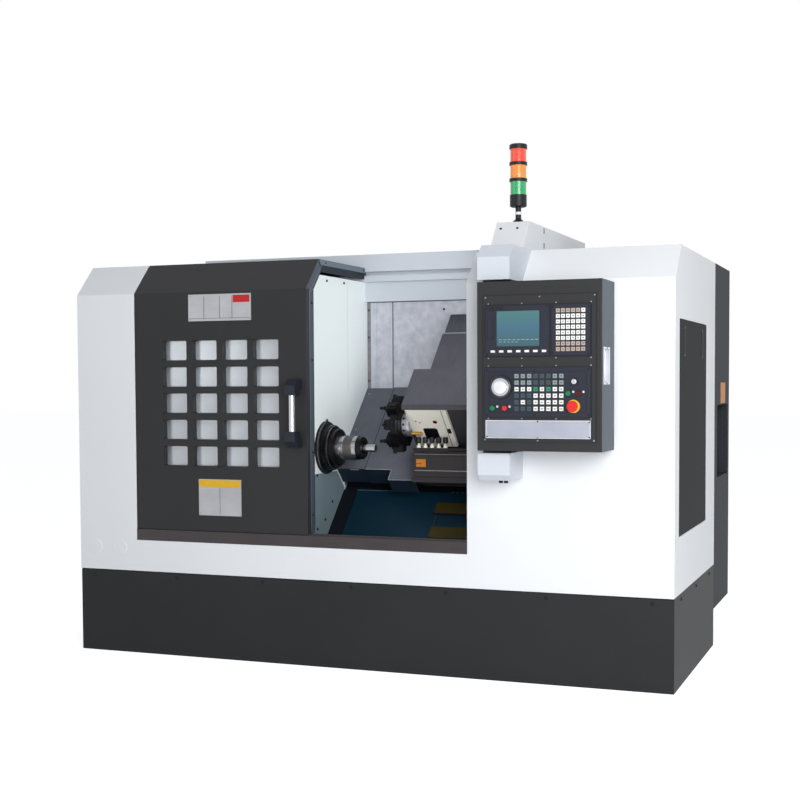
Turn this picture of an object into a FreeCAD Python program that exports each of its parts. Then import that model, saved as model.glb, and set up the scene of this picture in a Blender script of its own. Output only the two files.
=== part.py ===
"""Slant-bed turning lathe: enclosure, sliding door, spindle, slides, turret and controls.

Every length is in millimetres. The datum of all sizes below is the lower left front corner
of the enclosure: x runs right, y runs rearwards, z runs up. The finished part is shifted so
that its origin lies at the middle of its footprint, on the floor.

The bed is slanted. Pieces on it are drawn in slant coordinates: s runs up along the slope
and n stands square on it.
"""
import FreeCAD, Part
import math
import os

import Sketcher

HALF_TURN = 180
QUARTER_TURN = 90
SLOPE_ANGLE = 45
SLOPE = math.sqrt(0.5)

document = FreeCAD.newDocument("turning_lathe")

# ---------------------------------------------------------------- driving dimensions
DIMENSIONS = [
    ("overall_width", 2560, "enclosure, left to right"),
    ("body_depth", 980, "white enclosure, front to rear"),
    ("roof_height", 1653, "floor to enclosure roof"),
    ("front_slope_height", 128, "height taken by the sloped front"),
    ("front_slope_depth", 123, "depth taken by the sloped front"),
    ("cover_gauge", 4, "enclosure sheet with its stiffeners"),
    ("base_height", 352, "dark base"),
    ("base_setback", 4, "base front behind the enclosure front"),
    ("pillar_right", 284, "right edge of the left pillar"),
    ("column_left", 1763, "left edge of the right column"),
    ("sill_bottom", 484, "underside of the door sill"),
    ("sill_top", 531, "top of the door sill"),
    ("sill_depth", 78, "door sill, front to rear"),
    ("rail_height", 7, "guide rib on the sill"),
    ("rail_width", 8, "guide rib on the sill"),
    ("door_right", 1086, "right edge of the open door"),
    ("door_clearance", 4, "gap between the door and what it slides past"),
    ("door_panel_depth", 30, "double-skinned door front"),
    ("door_frame_depth", 70, "side return of the door"),
    ("door_frame_width", 16, "side return of the door"),
    ("door_roof_rear", 597, "rear edge of the door roof"),
    ("door_tongue_reach", 20, "tongue that runs in the top beam"),
    ("window_left", 421, "first window column"),
    ("window_bottom", 804, "lowest window row"),
    ("window_width", 113, "one window"),
    ("window_height", 81, "one window"),
    ("window_pitch_x", 142, "window columns"),
    ("window_pitch_z", 110, "window rows"),
    ("window_corner", 7, "corner radius of a window"),
    ("pane_gauge", 6, "window pane"),
    ("pane_margin", 22, "pane beyond the outer windows"),
    ("handle_inset", 46, "door handle from the right edge of the door"),
    ("handle_radius", 13, "handle bar"),
    ("handle_stand", 42, "bar axis in front of the door"),
    ("handle_low", 888, "underside of the lower bracket"),
    ("handle_high", 1162, "top of the upper bracket"),
    ("bracket_height", 64, "handle bracket"),
    ("bracket_width", 46, "handle bracket"),
    ("bracket_nose", 65, "front of the cup, from the door"),
    ("bracket_back", 18, "rear of the cup, from the door"),
    ("bracket_crown", 30, "depth of the flat end of the bracket"),
    ("bracket_bevel", 25, "slanted end of the bracket"),
    ("bracket_notch", 24, "cup behind the bar"),
    ("bracket_foot", 36, "height of the bracket on the door"),
    ("beam_front", 605, "front face of the top beam"),
    ("beam_rear", 720, "rear face of the top beam"),
    ("beam_rise", 59, "top beam above the roof"),
    ("beam_drop", 61, "top beam below the roof"),
    ("beam_slot_drop", 26, "middle of the tongue slot below the roof"),
    ("beam_slot_height", 18, "slot for the door tongue"),
    ("beam_slot_depth", 30, "slot for the door tongue"),
    ("lintel_front", 640, "front face of the lintel"),
    ("lintel_drop", 147, "underside of the lintel below the roof"),
    ("back_wall_front", 670, "rear wall of the work chamber"),
    ("back_wall_bottom", 1112, "lower edge of the rear wall"),
    ("flange_strip_width", 44, "upright strip beside the left chamber wall"),
    ("guard_front", 80, "fixed panel behind the open door"),
    ("guard_seam", 560, "seam in the fixed panel"),
    ("chamber_left", 1070, "inner face of the left chamber wall"),
    ("chamber_right", 2150, "inner face of the right chamber wall"),
    ("cabinet_depth", 454, "electrical cabinet, front to rear"),
    ("cabinet_bottom", 158, "underside of the cabinet"),
    ("cabinet_width", 920, "electrical cabinet, left to right"),
    ("cabinet_skin", 22, "cabinet door"),
    ("recess_low", 725, "socket recess in the cabinet side"),
    ("recess_high", 1042, "socket recess in the cabinet side"),
    ("recess_front", 1058, "socket recess in the cabinet side"),
    ("recess_rear", 1390, "socket recess in the cabinet side"),
    ("recess_depth", 60, "socket recess in the cabinet side"),
    ("switch_radius", 26, "main switch"),
    ("side_panel_front", 92, "access panel in the right side"),
    ("side_panel_rear", 740, "access panel in the right side"),
    ("side_panel_low", 569, "access panel in the right side"),
    ("side_panel_high", 1379, "access panel in the right side"),
    ("side_slot_inset", 106, "finger slot from the panel edge"),
    ("side_slot_width", 16, "finger slot"),
    ("side_slot_low", 1249, "finger slot"),
    ("side_slot_high", 1345, "finger slot"),
    ("duct_left", 1744, "cable duct on the roof"),
    ("duct_right", 1885, "cable duct on the roof"),
    ("duct_front_low", 330, "foot of the duct front"),
    ("duct_front_high", 450, "top of the duct front"),
    ("duct_height", 152, "duct above the roof"),
    ("lamp_inset", 60, "signal tower from the right side of the duct"),
    ("lamp_radius", 35, "signal tower"),
    ("lamp_stem_radius", 12, "signal tower stem"),
    ("lamp_foot_radius", 28, "flared foot of the stem"),
    ("lamp_stem_height", 64, "signal tower stem"),
    ("lamp_base_height", 50, "black base module"),
    ("lens_height", 54, "one coloured module"),
    ("lens_pitch", 67, "coloured modules"),
    ("lamp_cap_height", 20, "cap"),
    ("lamp_behind_edge", 42, "lamp axis behind the duct's top front edge"),
    ("axis_s", 771, "spindle axis along the slope"),
    ("axis_n", 469.5, "spindle axis off the slope"),
    ("nose_ring_radius", 110, "fixed cover ring round the spindle nose"),
    ("nose_ring_right", 1081, "face of the cover ring"),
    ("ring_bore", 60, "bore of the cover ring"),
    ("headstock_left", 760, "headstock casting"),
    ("headstock_radius", 108, "headstock casting round the bore"),
    ("headstock_heel", 640, "front foot of the headstock on the slope"),
    ("headstock_toe", 960, "rear foot of the headstock on the slope"),
    ("bearing_outer", 74, "spindle bearings"),
    ("bearing_width", 60, "spindle bearings"),
    ("bearing_inset", 12, "bearing behind the end of the bore"),
    ("shaft_radius", 45, "spindle shaft"),
    ("shaft_bore", 21, "through bore of the spindle"),
    ("shaft_left", 560, "rear end of the spindle"),
    ("running_gap", 0.3, "clearance between pieces that turn or slide"),
    ("adaptor_right", 1114, "chuck adaptor"),
    ("adaptor_radius", 94, "chuck adaptor"),
    ("collar_right", 1140, "chuck collar"),
    ("collar_radius", 78, "chuck collar, back"),
    ("collar_small", 64, "chuck collar, front"),
    ("chuck_right", 1222, "collet chuck body"),
    ("chuck_radius", 50, "collet chuck body"),
    ("cap_right", 1245, "collet cap"),
    ("cap_radius", 47, "collet cap"),
    ("bar_right", 1296, "free end of the bar stock"),
    ("bar_radius", 15.5, "bar stock"),
    ("pulley_left", 600, "spindle pulley"),
    ("pulley_width", 60, "spindle pulley"),
    ("spindle_pulley_radius", 95, "spindle pulley"),
    ("motor_pulley_radius", 70, "motor pulley"),
    ("belt_gauge", 8, "drive belt"),
    ("motor_y", 600, "motor axis"),
    ("motor_z", 640, "motor axis"),
    ("motor_radius", 115, "spindle motor"),
    ("motor_left", 300, "spindle motor"),
    ("motor_right", 560, "spindle motor"),
    ("motor_shaft_radius", 24, "motor shaft"),
    ("motor_foot", 180, "width of the motor foot"),
    ("bed_left", 700, "bed casting"),
    ("bed_margin", 260, "bed casting from the right side"),
    ("bed_front", 360, "bed casting"),
    ("bed_rear", 860, "bed casting"),
    ("bed_shoulder", 600, "height of the bed's upright front"),
    ("bed_n", 180, "sloping top of the bed"),
    ("bed_s_front", 790, "front edge of the sloping top"),
    ("bed_s_rear", 1230, "rear edge of the sloping top"),
    ("way_height", 35, "box ways"),
    ("way_width", 70, "box ways"),
    ("front_way_s", 805, "front way"),
    ("rear_way_s", 1125, "rear way"),
    ("way_left", 1080, "box ways"),
    ("screw_s", 1000, "feed screw"),
    ("screw_n", 240, "feed screw"),
    ("screw_radius", 16, "feed screw"),
    ("screw_margin", 100, "feed screw from the right end of the bed"),
    ("screw_post_width", 80, "bearing post of the feed screw"),
    ("screw_post_length", 24, "bearing post of the feed screw"),
    ("servo_side", 110, "feed motor"),
    ("servo_length", 90, "feed motor"),
    ("saddle_left", 1440, "saddle"),
    ("saddle_right", 1760, "saddle"),
    ("saddle_rear_s", 1220, "saddle"),
    ("saddle_n", 332, "top of the saddle"),
    ("saddle_nose_y", 302, "upright front of the saddle"),
    ("saddle_nose_low", 745, "upright front of the saddle"),
    ("saddle_nose_high", 845, "upright front of the saddle"),
    ("saddle_nose_s", 850, "rear of the raised nose"),
    ("slide_gap", 0.4, "clearance under the saddle and the cross slide"),
    ("apron_front", 250, "steel front of the saddle"),
    ("apron_top", 868, "steel front of the saddle"),
    ("apron_bottom", 738, "steel front of the saddle"),
    ("apron_step", 6, "ledges of the steel front"),
    ("way_cover_n", 329, "top of the sliding way cover"),
    ("way_cover_rear_s", 1262, "rear edge of the way covers"),
    ("cover_sheet", 2, "way cover sheet"),
    ("cover_stack", 2.6, "one way cover under the next"),
    ("cover_edge_s", 777, "front edge of the way covers"),
    ("cover_lip", 90, "front lip of the way covers"),
    ("fixed_cover_right", 1400, "fixed way cover"),
    ("sliding_cover_left", 1203, "sliding way cover"),
    ("middle_cover_right", 1428, "middle way cover"),
    ("step_left", 1323, "lower step of the sliding way cover"),
    ("step_edge_s", 721, "lower step of the sliding way cover"),
    ("step_lip", 78, "lower step of the sliding way cover"),
    ("slide_left", 1476, "cross slide"),
    ("slide_right", 1640, "cross slide"),
    ("slide_front_s", 880, "cross slide"),
    ("slide_rear_s", 1100, "cross slide"),
    ("housing_left", 1447, "turret housing"),
    ("housing_right", 1622, "turret housing"),
    ("housing_front_s", 840, "turret housing"),
    ("housing_rear_s", 1020, "turret housing"),
    ("housing_low_n", 409, "turret housing"),
    ("housing_high_n", 641, "turret housing"),
    ("hood_left", 1436, "cross slide hood"),
    ("hood_right", 1770, "cross slide hood"),
    ("hood_front_s", 853, "cross slide hood"),
    ("hood_rear_s", 1056, "cross slide hood"),
    ("hood_shelf_s", 1120, "rear shelf of the hood"),
    ("hood_sheet", 3, "cross slide hood"),
    ("hood_lip", 22, "upright front lip of the hood"),
    ("hood_front_low", 409, "front apron of the hood"),
    ("upper_cover_left", 1463, "upper covers"),
    ("upper_cover_right", 1766, "upper covers"),
    ("upper_cover_n", 557, "top of the sliding upper cover"),
    ("upper_front_s", 1105, "sliding upper cover"),
    ("upper_step_s", 1365, "sliding upper cover"),
    ("upper_sheet", 3, "upper covers"),
    ("upper_stack", 3.6, "fixed upper cover under the sliding one"),
    ("upper_fixed_s", 1186, "fixed upper cover, clear of the housing at the end of its travel"),
    ("upper_rear_s", 1486, "fixed upper cover"),
    ("upper_fixed_inset", 6, "fixed upper cover inside the sliding one"),
    ("turret_s", 884, "turret axis"),
    ("turret_n", 495, "turret axis"),
    ("disc_left", 1376, "turret disc"),
    ("disc_radius", 88, "turret disc, across the flats, halved"),
    ("hub_length", 34, "bright hub of the turret"),
    ("hub_radius", 10, "bright hub of the turret"),
    ("holder_reach", 122, "tool holder, from the turret axis"),
    ("holder_width", 46, "tool holder"),
    ("holder_length", 44, "tool holder"),
    ("knob_pitch", 29, "coolant valve knobs"),
    ("knob_left", 1470, "first coolant valve knob"),
    ("knob_radius", 8.5, "coolant valve knobs"),
    ("knob_y", 254, "axes of the coolant valve knobs"),
    ("knob_foot", 880, "top of the coolant manifold under the knobs"),
    ("knob_top", 923, "top of the coolant valve knobs"),
    ("manifold_depth", 16, "coolant manifold"),
    ("manifold_height", 13, "coolant manifold"),
    ("box_left", 1876, "control box"),
    ("box_right", 2340, "control box"),
    ("box_front", -215, "control box"),
    ("box_rear", -16, "control box"),
    ("box_bottom", 897, "control box"),
    ("box_top", 1511, "control box"),
    ("box_corner", 5, "edge radius of the control box"),
    ("pivot_x", 1925, "control box pivot"),
    ("pivot_y", -100, "control box pivot"),
    ("pivot_radius", 44, "black pivot plate"),
    ("mount_left", 1864, "pivot brackets"),
    ("mount_right", 1987, "pivot brackets"),
    ("mount_front", -173, "pivot brackets"),
    ("upper_mount_bottom", 1522, "upper pivot bracket"),
    ("lower_mount_top", 886, "lower pivot bracket"),
    ("lower_mount_bottom", 784, "lower pivot bracket"),
    ("mount_chamfer", 21, "lower edge of the lower bracket"),
    ("mount_slope", 48, "upper edge of the upper bracket"),
    ("plate_left", 1899, "inner panel"),
    ("plate_right", 2320, "inner panel"),
    ("plate_bottom", 930, "inner panel"),
    ("plate_top", 1461, "inner panel"),
    ("plate_gauge", 3, "inner panel"),
    ("bezel_left", 1910, "bezels"),
    ("bezel_right", 2301, "bezels"),
    ("bezel_gauge", 6, "bezels"),
    ("display_bottom", 1240, "display bezel"),
    ("display_top", 1424, "display bezel"),
    ("operator_bottom", 1021, "operator panel"),
    ("operator_top", 1199, "operator panel"),
    ("blank_bottom", 947, "blank plate"),
    ("blank_top", 1009, "blank plate"),
    ("screen_left", 1954, "screen"),
    ("screen_right", 2114, "screen"),
    ("screen_bottom", 1276, "screen"),
    ("screen_top", 1403, "screen"),
    ("screen_gauge", 1, "screen"),
    ("key_travel_height", 3, "keys above their bezel"),
    ("data_key_left", 2176, "data keys"),
    ("data_key_top", 1408, "data keys"),
    ("data_key_pitch_x", 18.4, "data keys"),
    ("data_key_pitch_z", 19.6, "data keys"),
    ("data_key_side", 14, "data keys"),
    ("soft_key_left", 1932, "soft keys"),
    ("soft_key_bottom", 1254, "soft keys"),
    ("soft_key_pitch", 32, "soft keys"),
    ("soft_key_width", 16, "soft keys"),
    ("soft_key_height", 8, "soft keys"),
    ("machine_key_left", 2022, "machine keys"),
    ("machine_key_top", 1176, "machine keys"),
    ("machine_key_pitch_x", 23.7, "machine keys"),
    ("machine_key_pitch_z", 23.5, "machine keys"),
    ("machine_key_side", 15, "machine keys"),
    ("wheel_x", 1972, "handwheel"),
    ("wheel_z", 1129, "handwheel"),
    ("wheel_radius", 40, "handwheel"),
    ("wheel_height", 22, "handwheel"),
    ("stop_x", 2240, "emergency stop"),
    ("stop_z", 1060, "emergency stop"),
    ("stop_radius", 20, "emergency stop"),
    ("stop_height", 30, "emergency stop"),
    ("button_radius", 9, "push buttons"),
    ("button_height", 9, "push buttons"),
    ("button_travel", 4, "push button stroke"),
    ("stem_depth", 1.5, "button stem inside its well"),
    ("power_on_x", 1940, "power on button"),
    ("power_off_x", 1986, "power off button"),
    ("power_z", 1053, "power buttons"),
    ("start_x", 2222, "cycle start button"),
    ("hold_x", 2259, "feed hold button"),
    ("cycle_z", 1106, "cycle buttons"),
    ("lock_x", 2243, "key switch"),
    ("lock_z", 1148, "key switch"),
    ("pull_front", -185, "recessed pull in the box side"),
    ("pull_rear", -101, "recessed pull in the box side"),
    ("pull_low", 1144, "recessed pull in the box side"),
    ("pull_high", 1264, "recessed pull in the box side"),
    ("pull_depth", 14, "recessed pull in the box side"),
    ("pan_floor", 494, "chip pan"),
    ("pan_sheet", 4, "chip pan"),
    ("pan_n", 201, "sloping part of the pan, off the slope"),
    ("pan_top_s", 768, "upper edge of the pan"),
    ("bar_low_left", 1520, "lower tray bar"),
    ("bar_high_left", 1513, "upper tray bar"),
    ("tray_bar_right", 2130, "tray bars"),
    ("door_roof_depth", 50, "door frame below the roof"),
    ("bed_clearance", 3, "chamber walls above the ways and in front of the bed"),
    ("wall_over_screw", 60, "right chamber wall above the feed screw"),
    ("panel_gap", 2, "joint round the access panel"),
    ("seam_width", 5, "seam in the fixed panel"),
    ("port_left", 560, "stadium-shaped port cover"),
    ("port_right", 620, "stadium-shaped port cover"),
    ("port_z", 1290, "stadium-shaped port cover"),
    ("port_radius", 22, "stadium-shaped port cover"),
    ("back_seam", 1209, "seam in the rear wall"),
    ("bar_low_s", 520, "lower tray bar"),
    ("bar_high_s", 648, "upper tray bar"),
    ("tray_bar_width", 58, "tray bars, up the slope"),
    ("tray_bar_gauge", 8, "tray bars, off the pan"),
    ("plate_inset", 40, "mounting plate and door field"),
    ("module_pitch_x", 190, "drive modules"),
    ("module_pitch_z", 440, "drive modules"),
    ("module_width", 130, "drive modules"),
    ("module_depth", 170, "drive modules"),
    ("module_height", 320, "drive modules"),
    ("socket_inset", 60, "sockets in the recess"),
    ("socket_height", 14, "sockets in the recess"),
    ("socket_radius", 18, "sockets in the recess"),
    ("field_depth", 3, "pressed field of the cabinet door"),
    ("switch_y", 1116, "main switch"),
    ("switch_z", 912, "main switch"),
    ("switch_base", 12, "main switch"),
    ("switch_grip", 18, "main switch"),
    ("grip_width", 12, "main switch"),
    ("vent_depth", 3, "slots in the duct side"),
    ("vent_y", 668, "slots in the duct side"),
    ("vent_width", 12, "slots in the duct side"),
    ("vent_height", 22, "slots in the duct side"),
    ("vent_low", 1714, "slots in the duct side"),
    ("vent_pitch", 62, "slots in the duct side"),
    ("ring_lip", 2, "rings of the signal tower"),
    ("gland_length", 14, "glands under the lower bracket"),
    ("gland_pitch", 20, "glands under the lower bracket"),
    ("gland_radius", 8, "glands under the lower bracket"),
    ("ring_bevel", 4, "bevels of the spindle nose pieces"),
    ("ring_pin_height", 9, "clamp pin above the cover ring"),
    ("shaft_step", 8, "step at the rear of the spindle"),
    ("knurl_height", 1, "knurled band"),
    ("cap_mouth", 24, "mouth of the collet cap"),
    ("tommy_side", 9, "tommy holes"),
    ("bar_overhang", 60, "bar stock behind the spindle"),
    ("pulley_flange", 5, "pulley flanges"),
    ("motor_shaft_depth", 30, "motor shaft inside the motor"),
    ("gib_width", 30, "saddle gibs beside the ways"),
    ("nut_inset", 60, "feed nut inside the saddle ends"),
    ("ledge_low", 752, "lower ledge of the apron"),
    ("ledge_middle", 778, "middle ledge of the apron"),
    ("ledge_high", 846, "upper ledge of the apron"),
    ("slide_chamfer", 18, "cross slide front"),
    ("disc_width", 66, "turret disc"),
    ("neck_radius", 42, "turret bearing neck"),
    ("recess_left", 1498, "socket recess in the turret housing"),
    ("recess_right", 1559, "socket recess in the turret housing"),
    ("recess_low_n", 455, "socket recess in the turret housing"),
    ("recess_high_n", 516, "socket recess in the turret housing"),
    ("housing_recess", 8, "socket recess in the turret housing"),
    ("eye_x", 1560, "sight glass of the turret housing"),
    ("eye_n", 555, "sight glass of the turret housing"),
    ("eye_radius", 9, "sight glass of the turret housing"),
    ("eye_depth", 4, "sight glass of the turret housing"),
    ("hood_shelf_gap", 2, "hood shelf above the sliding upper cover"),
    ("knob_neck", 4.5, "coolant valve knobs"),
    ("knob_flange", 9, "coolant valve knobs"),
    ("knob_head", 15, "coolant valve knobs"),
    ("manifold_arm_width", 10, "arms between the manifold and the housing"),
    ("manifold_arm_gauge", 6, "arms between the manifold and the housing"),
    ("manifold_arm_rear", 300, "rear end of the manifold arms"),
    ("manifold_tab_gauge", 8, "tabs of the arms on the housing face"),
    ("manifold_tab_drop", 4, "tabs below the housing face"),
    ("manifold_tab_n", 430, "top of the tabs"),
    ("pipe_left", 1446, "brass feed pipe"),
    ("pipe_length", 22, "brass feed pipe"),
    ("pipe_n", 495, "brass feed pipe"),
    ("pipe_radius", 6, "brass feed pipe"),
    ("hose_radius", 7.5, "hose to the manifold"),
    ("boss_height", 6, "boss on the turret face"),
    ("holder_overhang", 16, "tool holder cheek on the disc face"),
    ("tool_proud", 8, "tool in front of its holder"),
    ("tool_side", 16, "tool shank"),
    ("boring_reach", 18, "boring tool in front of its holder"),
    ("keypad_seam", 2152, "joint between the display and the data keys"),
]


class Size:
    """A length that knows its value and the sheet formula it comes from."""

    def __init__(self, value, text):
        self.value = value
        self.text = text

    def __add__(self, other):
        other = as_size(other)
        return Size(self.value + other.value, "(%s + %s)" % (self.text, other.text))

    def __radd__(self, other):
        return as_size(other) + self

    def __sub__(self, other):
        other = as_size(other)
        return Size(self.value - other.value, "(%s - %s)" % (self.text, other.text))

    def __rsub__(self, other):
        return as_size(other) - self

    def __mul__(self, factor):
        factor = as_size(factor)
        return Size(self.value * factor.value, "(%s * %s)" % (self.text, factor.text))

    def __rmul__(self, factor):
        return self * factor

    def __truediv__(self, divisor):
        divisor = as_size(divisor)
        return Size(self.value / divisor.value, "(%s / %s)" % (self.text, divisor.text))

    def __neg__(self):
        return Size(-self.value, "(0 - %s)" % self.text)


def as_size(number):
    if isinstance(number, Size):
        return number
    return Size(float(number), "%.9g" % number if number >= 0 else "(0 - %.9g)" % -number)


class Dimensions:
    """The driving dimensions by name, each tied to its cell in the sheet."""


def make_sheet():
    sheet = document.addObject("Spreadsheet::Sheet", "Sizes")
    sizes = Dimensions()
    for row, (alias, value, note) in enumerate(DIMENSIONS, start=1):
        sheet.set("A%d" % row, alias)
        sheet.set("B%d" % row, "%g" % value)
        sheet.setAlias("B%d" % row, alias)
        sheet.set("C%d" % row, note)
        setattr(sizes, alias, Size(float(value), "Sizes." + alias))
    document.recompute()
    return sizes


d = make_sheet()
FRONT_FACE = d.box_front - d.plate_gauge - d.bezel_gauge
REAR_FACE = d.body_depth + d.cabinet_depth
MIDDLE_X = d.overall_width / 2
MIDDLE_Y = (FRONT_FACE - d.stop_height + REAR_FACE) / 2
SLANT = FreeCAD.Rotation(FreeCAD.Vector(1, 0, 0), SLOPE_ANGLE)
UPRIGHT = FreeCAD.Rotation()
ALONG_X = FreeCAD.Rotation(FreeCAD.Vector(0, 1, 0), QUARTER_TURN)
ALONG_Y = FreeCAD.Rotation(FreeCAD.Vector(1, 0, 0), -QUARTER_TURN)

nodes = []


# ---------------------------------------------------------------- drawing helpers
def slant_y(s, n):
    return (s - n) * SLOPE


def slant_z(s, n):
    return (s + n) * SLOPE


AXIS_Y = slant_y(d.axis_s, d.axis_n)
AXIS_Z = slant_z(d.axis_s, d.axis_n)
TURRET_Y = slant_y(d.turret_s, d.turret_n)
TURRET_Z = slant_z(d.turret_s, d.turret_n)


def bind(piece, **sizes):
    for name, size in sizes.items():
        piece.setExpression(name, as_size(size).text)


def locate(piece, x, y, z, rotation=UPRIGHT):
    """Put a piece's own origin at a point given from the enclosure's front corner."""
    spot = [as_size(x) - MIDDLE_X, as_size(y) - MIDDLE_Y, as_size(z)]
    piece.Placement = FreeCAD.Placement(FreeCAD.Vector(*[c.value for c in spot]), rotation)
    for axis, size in zip("xyz", spot):
        piece.setExpression("Placement.Base." + axis, size.text)
    return piece


def block(x0, x1, y0, y1, z0, z1):
    box = document.addObject("Part::Box", "block")
    bind(box, Length=as_size(x1) - x0, Width=as_size(y1) - y0, Height=as_size(z1) - z0)
    return locate(box, x0, y0, z0)


def slant_block(x0, x1, s0, s1, n0, n1):
    box = document.addObject("Part::Box", "slant_block")
    bind(box, Length=as_size(x1) - x0, Width=as_size(s1) - s0, Height=as_size(n1) - n0)
    return locate(box, x0, slant_y(as_size(s0), as_size(n0)), slant_z(as_size(s0), as_size(n0)), SLANT)


def rod(radius, length, x, y, z, rotation):
    cylinder = document.addObject("Part::Cylinder", "rod")
    bind(cylinder, Radius=radius, Height=length)
    return locate(cylinder, x, y, z, rotation)


def rod_x(x0, x1, y, z, radius):
    return rod(radius, as_size(x1) - x0, x0, y, z, ALONG_X)


def rod_y(y0, y1, x, z, radius):
    return rod(radius, as_size(y1) - y0, x, y0, z, ALONG_Y)


def rod_z(z0, z1, x, y, radius):
    return rod(radius, as_size(z1) - z0, x, y, z0, UPRIGHT)


def spoke_block(x0, x1, y, z, half_width, inner, outer, angle):
    """A block that points away from a lengthwise axis, turned about it by an angle."""
    turn = FreeCAD.Rotation(FreeCAD.Vector(1, 0, 0), angle)
    cosine = math.cos(math.radians(angle))
    sine = math.sin(math.radians(angle))
    box = document.addObject("Part::Box", "spoke")
    bind(box, Length=as_size(x1) - x0, Width=half_width * 2, Height=as_size(outer) - inner)
    corner_y = as_size(y) - half_width * cosine - inner * sine
    corner_z = as_size(z) - half_width * sine + inner * cosine
    return locate(box, x0, corner_y, corner_z, turn)


def origin_plane(body, role):
    for plane in body.Origin.OriginFeatures:
        if plane.Role == role:
            return plane
    raise ValueError(role)


def polygon_sketch(body, role, points):
    """A closed outline whose corners are held at their distances from the origin."""
    sketch = body.newObject("Sketcher::SketchObject", "outline")
    sketch.AttachmentSupport = [(origin_plane(body, role), "")]
    sketch.MapMode = "FlatFace"
    corners = [(as_size(u), as_size(v)) for u, v in points]
    count = len(corners)
    for index in range(count):
        start = corners[index]
        end = corners[(index + 1) % count]
        line = Part.LineSegment(
            FreeCAD.Vector(start[0].value, start[1].value, 0),
            FreeCAD.Vector(end[0].value, end[1].value, 0))
        sketch.addGeometry(line, False)
    for index in range(count):
        following = (index + 1) % count
        sketch.addConstraint(Sketcher.Constraint("Coincident", index, 2, following, 1))
    for index, (u, v) in enumerate(corners):
        for kind, size in (("DistanceX", u), ("DistanceY", v)):
            held = sketch.addConstraint(Sketcher.Constraint(kind, -1, 1, index, 1, size.value))
            sketch.setExpression("Constraints[%d]" % held, size.text)
    return sketch


def padded(role, points, length, x, y, z, rotation=UPRIGHT):
    body = document.addObject("PartDesign::Body", "body")
    sketch = polygon_sketch(body, role, points)
    pad = body.newObject("PartDesign::Pad", "pad")
    pad.Profile = sketch
    bind(pad, Length=length)
    sketch.Visibility = False
    return locate(body, x, y, z, rotation)


def outline_x(x0, x1, points):
    """An outline in y and z, drawn out from x0 to x1."""
    return padded("YZ_Plane", points, as_size(x1) - x0, x0, 0, 0)


def slant_outline(x0, x1, points):
    """An outline in s and n, drawn out from x0 to x1."""
    return padded("YZ_Plane", points, as_size(x1) - x0, x0, 0, 0, SLANT)


def outline_y(y0, y1, points):
    """An outline in x and z, drawn out from y1 forwards to y0."""
    return padded("XZ_Plane", points, as_size(y1) - y0, 0, y1, 0)


def outline_z(z0, z1, points):
    """An outline in x and y, drawn up from z0 to z1."""
    return padded("XY_Plane", points, as_size(z1) - z0, 0, 0, z0)


def turned(role, axis, points, x, y, z):
    body = document.addObject("PartDesign::Body", "body")
    sketch = polygon_sketch(body, role, points)
    turn = body.newObject("PartDesign::Revolution", "turn")
    turn.Profile = sketch
    turn.ReferenceAxis = (sketch, [axis])
    turn.Angle = 2 * HALF_TURN
    sketch.Visibility = False
    return locate(body, x, y, z)


def turned_x(y, z, points):
    """A profile of (x, radius) turned about a lengthwise axis."""
    return turned("XY_Plane", "H_Axis", points, 0, y, z)


def turned_y(x, z, points):
    """A profile of (radius, y) turned about a front-to-rear axis."""
    return turned("XY_Plane", "V_Axis", points, x, 0, z)


def turned_z(x, y, points):
    """A profile of (radius, z) turned about an upright axis."""
    return turned("XZ_Plane", "V_Axis", points, x, y, 0)


def union(*pieces):
    joined = document.addObject("Part::MultiFuse", "union")
    joined.Shapes = list(pieces)
    return joined


def minus(base, *tools):
    cut = document.addObject("Part::Cut", "cut")
    cut.Base = base
    cut.Tool = tools[0] if len(tools) == 1 else union(*tools)
    return cut


def group(*pieces):
    together = document.addObject("Part::Compound", "group")
    together.Links = list(pieces)
    return together


def rounded(piece, radius, chooses):
    """Round the edges that the test picks, on the built shape of the piece."""
    document.recompute()
    fillet = document.addObject("Part::Fillet", "rounded")
    fillet.Base = piece
    edges = []
    for number, edge in enumerate(piece.Shape.Edges, start=1):
        if chooses(edge):
            edges.append((number, radius.value, radius.value))
    fillet.Edges = edges
    return fillet


STRAIGHT_LIMIT = 0.001


def edge_runs(edge, axis):
    """True where a straight edge runs along x, y or z (0, 1 or 2)."""
    if len(edge.Vertexes) != 2:
        return False
    reach = edge.Vertexes[1].Point - edge.Vertexes[0].Point
    sideways = math.sqrt(max(reach.Length ** 2 - reach[axis] ** 2, 0))
    return sideways < STRAIGHT_LIMIT and edge.Length < reach.Length + STRAIGHT_LIMIT


def node(name, piece):
    piece.Label = name
    nodes.append(piece)
    return piece


# ---------------------------------------------------------------- enclosure
CORNER_SHARE = math.tan(math.radians(SLOPE_ANGLE / 2))
EDGE_HEIGHT = d.roof_height - d.front_slope_height
EDGE_RISE = as_size(d.front_slope_height) / d.front_slope_depth
BEAM_TOP = d.roof_height + d.beam_rise
BEAM_BOTTOM = d.roof_height - d.beam_drop
SLOT_MIDDLE = d.roof_height - d.beam_slot_drop
LINTEL_BOTTOM = d.roof_height - d.lintel_drop
DUCT_TOP = d.roof_height + d.duct_height
CABINET_LEFT = d.overall_width - d.cabinet_width
GUARD_ROOF = d.door_roof_depth + d.guard_front - d.door_frame_depth
OVERCUT = 1


def body_outline(front, roof, bottom, rear):
    """Side view of the enclosure with its sloped front edge, drawn in by two insets."""
    front = as_size(front)
    roof = as_size(roof)
    low_corner = EDGE_HEIGHT - roof * CORNER_SHARE + (front - roof) * EDGE_RISE
    return [
        (front, bottom),
        (front, low_corner),
        (d.front_slope_depth + roof * CORNER_SHARE, d.roof_height - roof),
        (rear, d.roof_height - roof),
        (rear, bottom),
    ]


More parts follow.
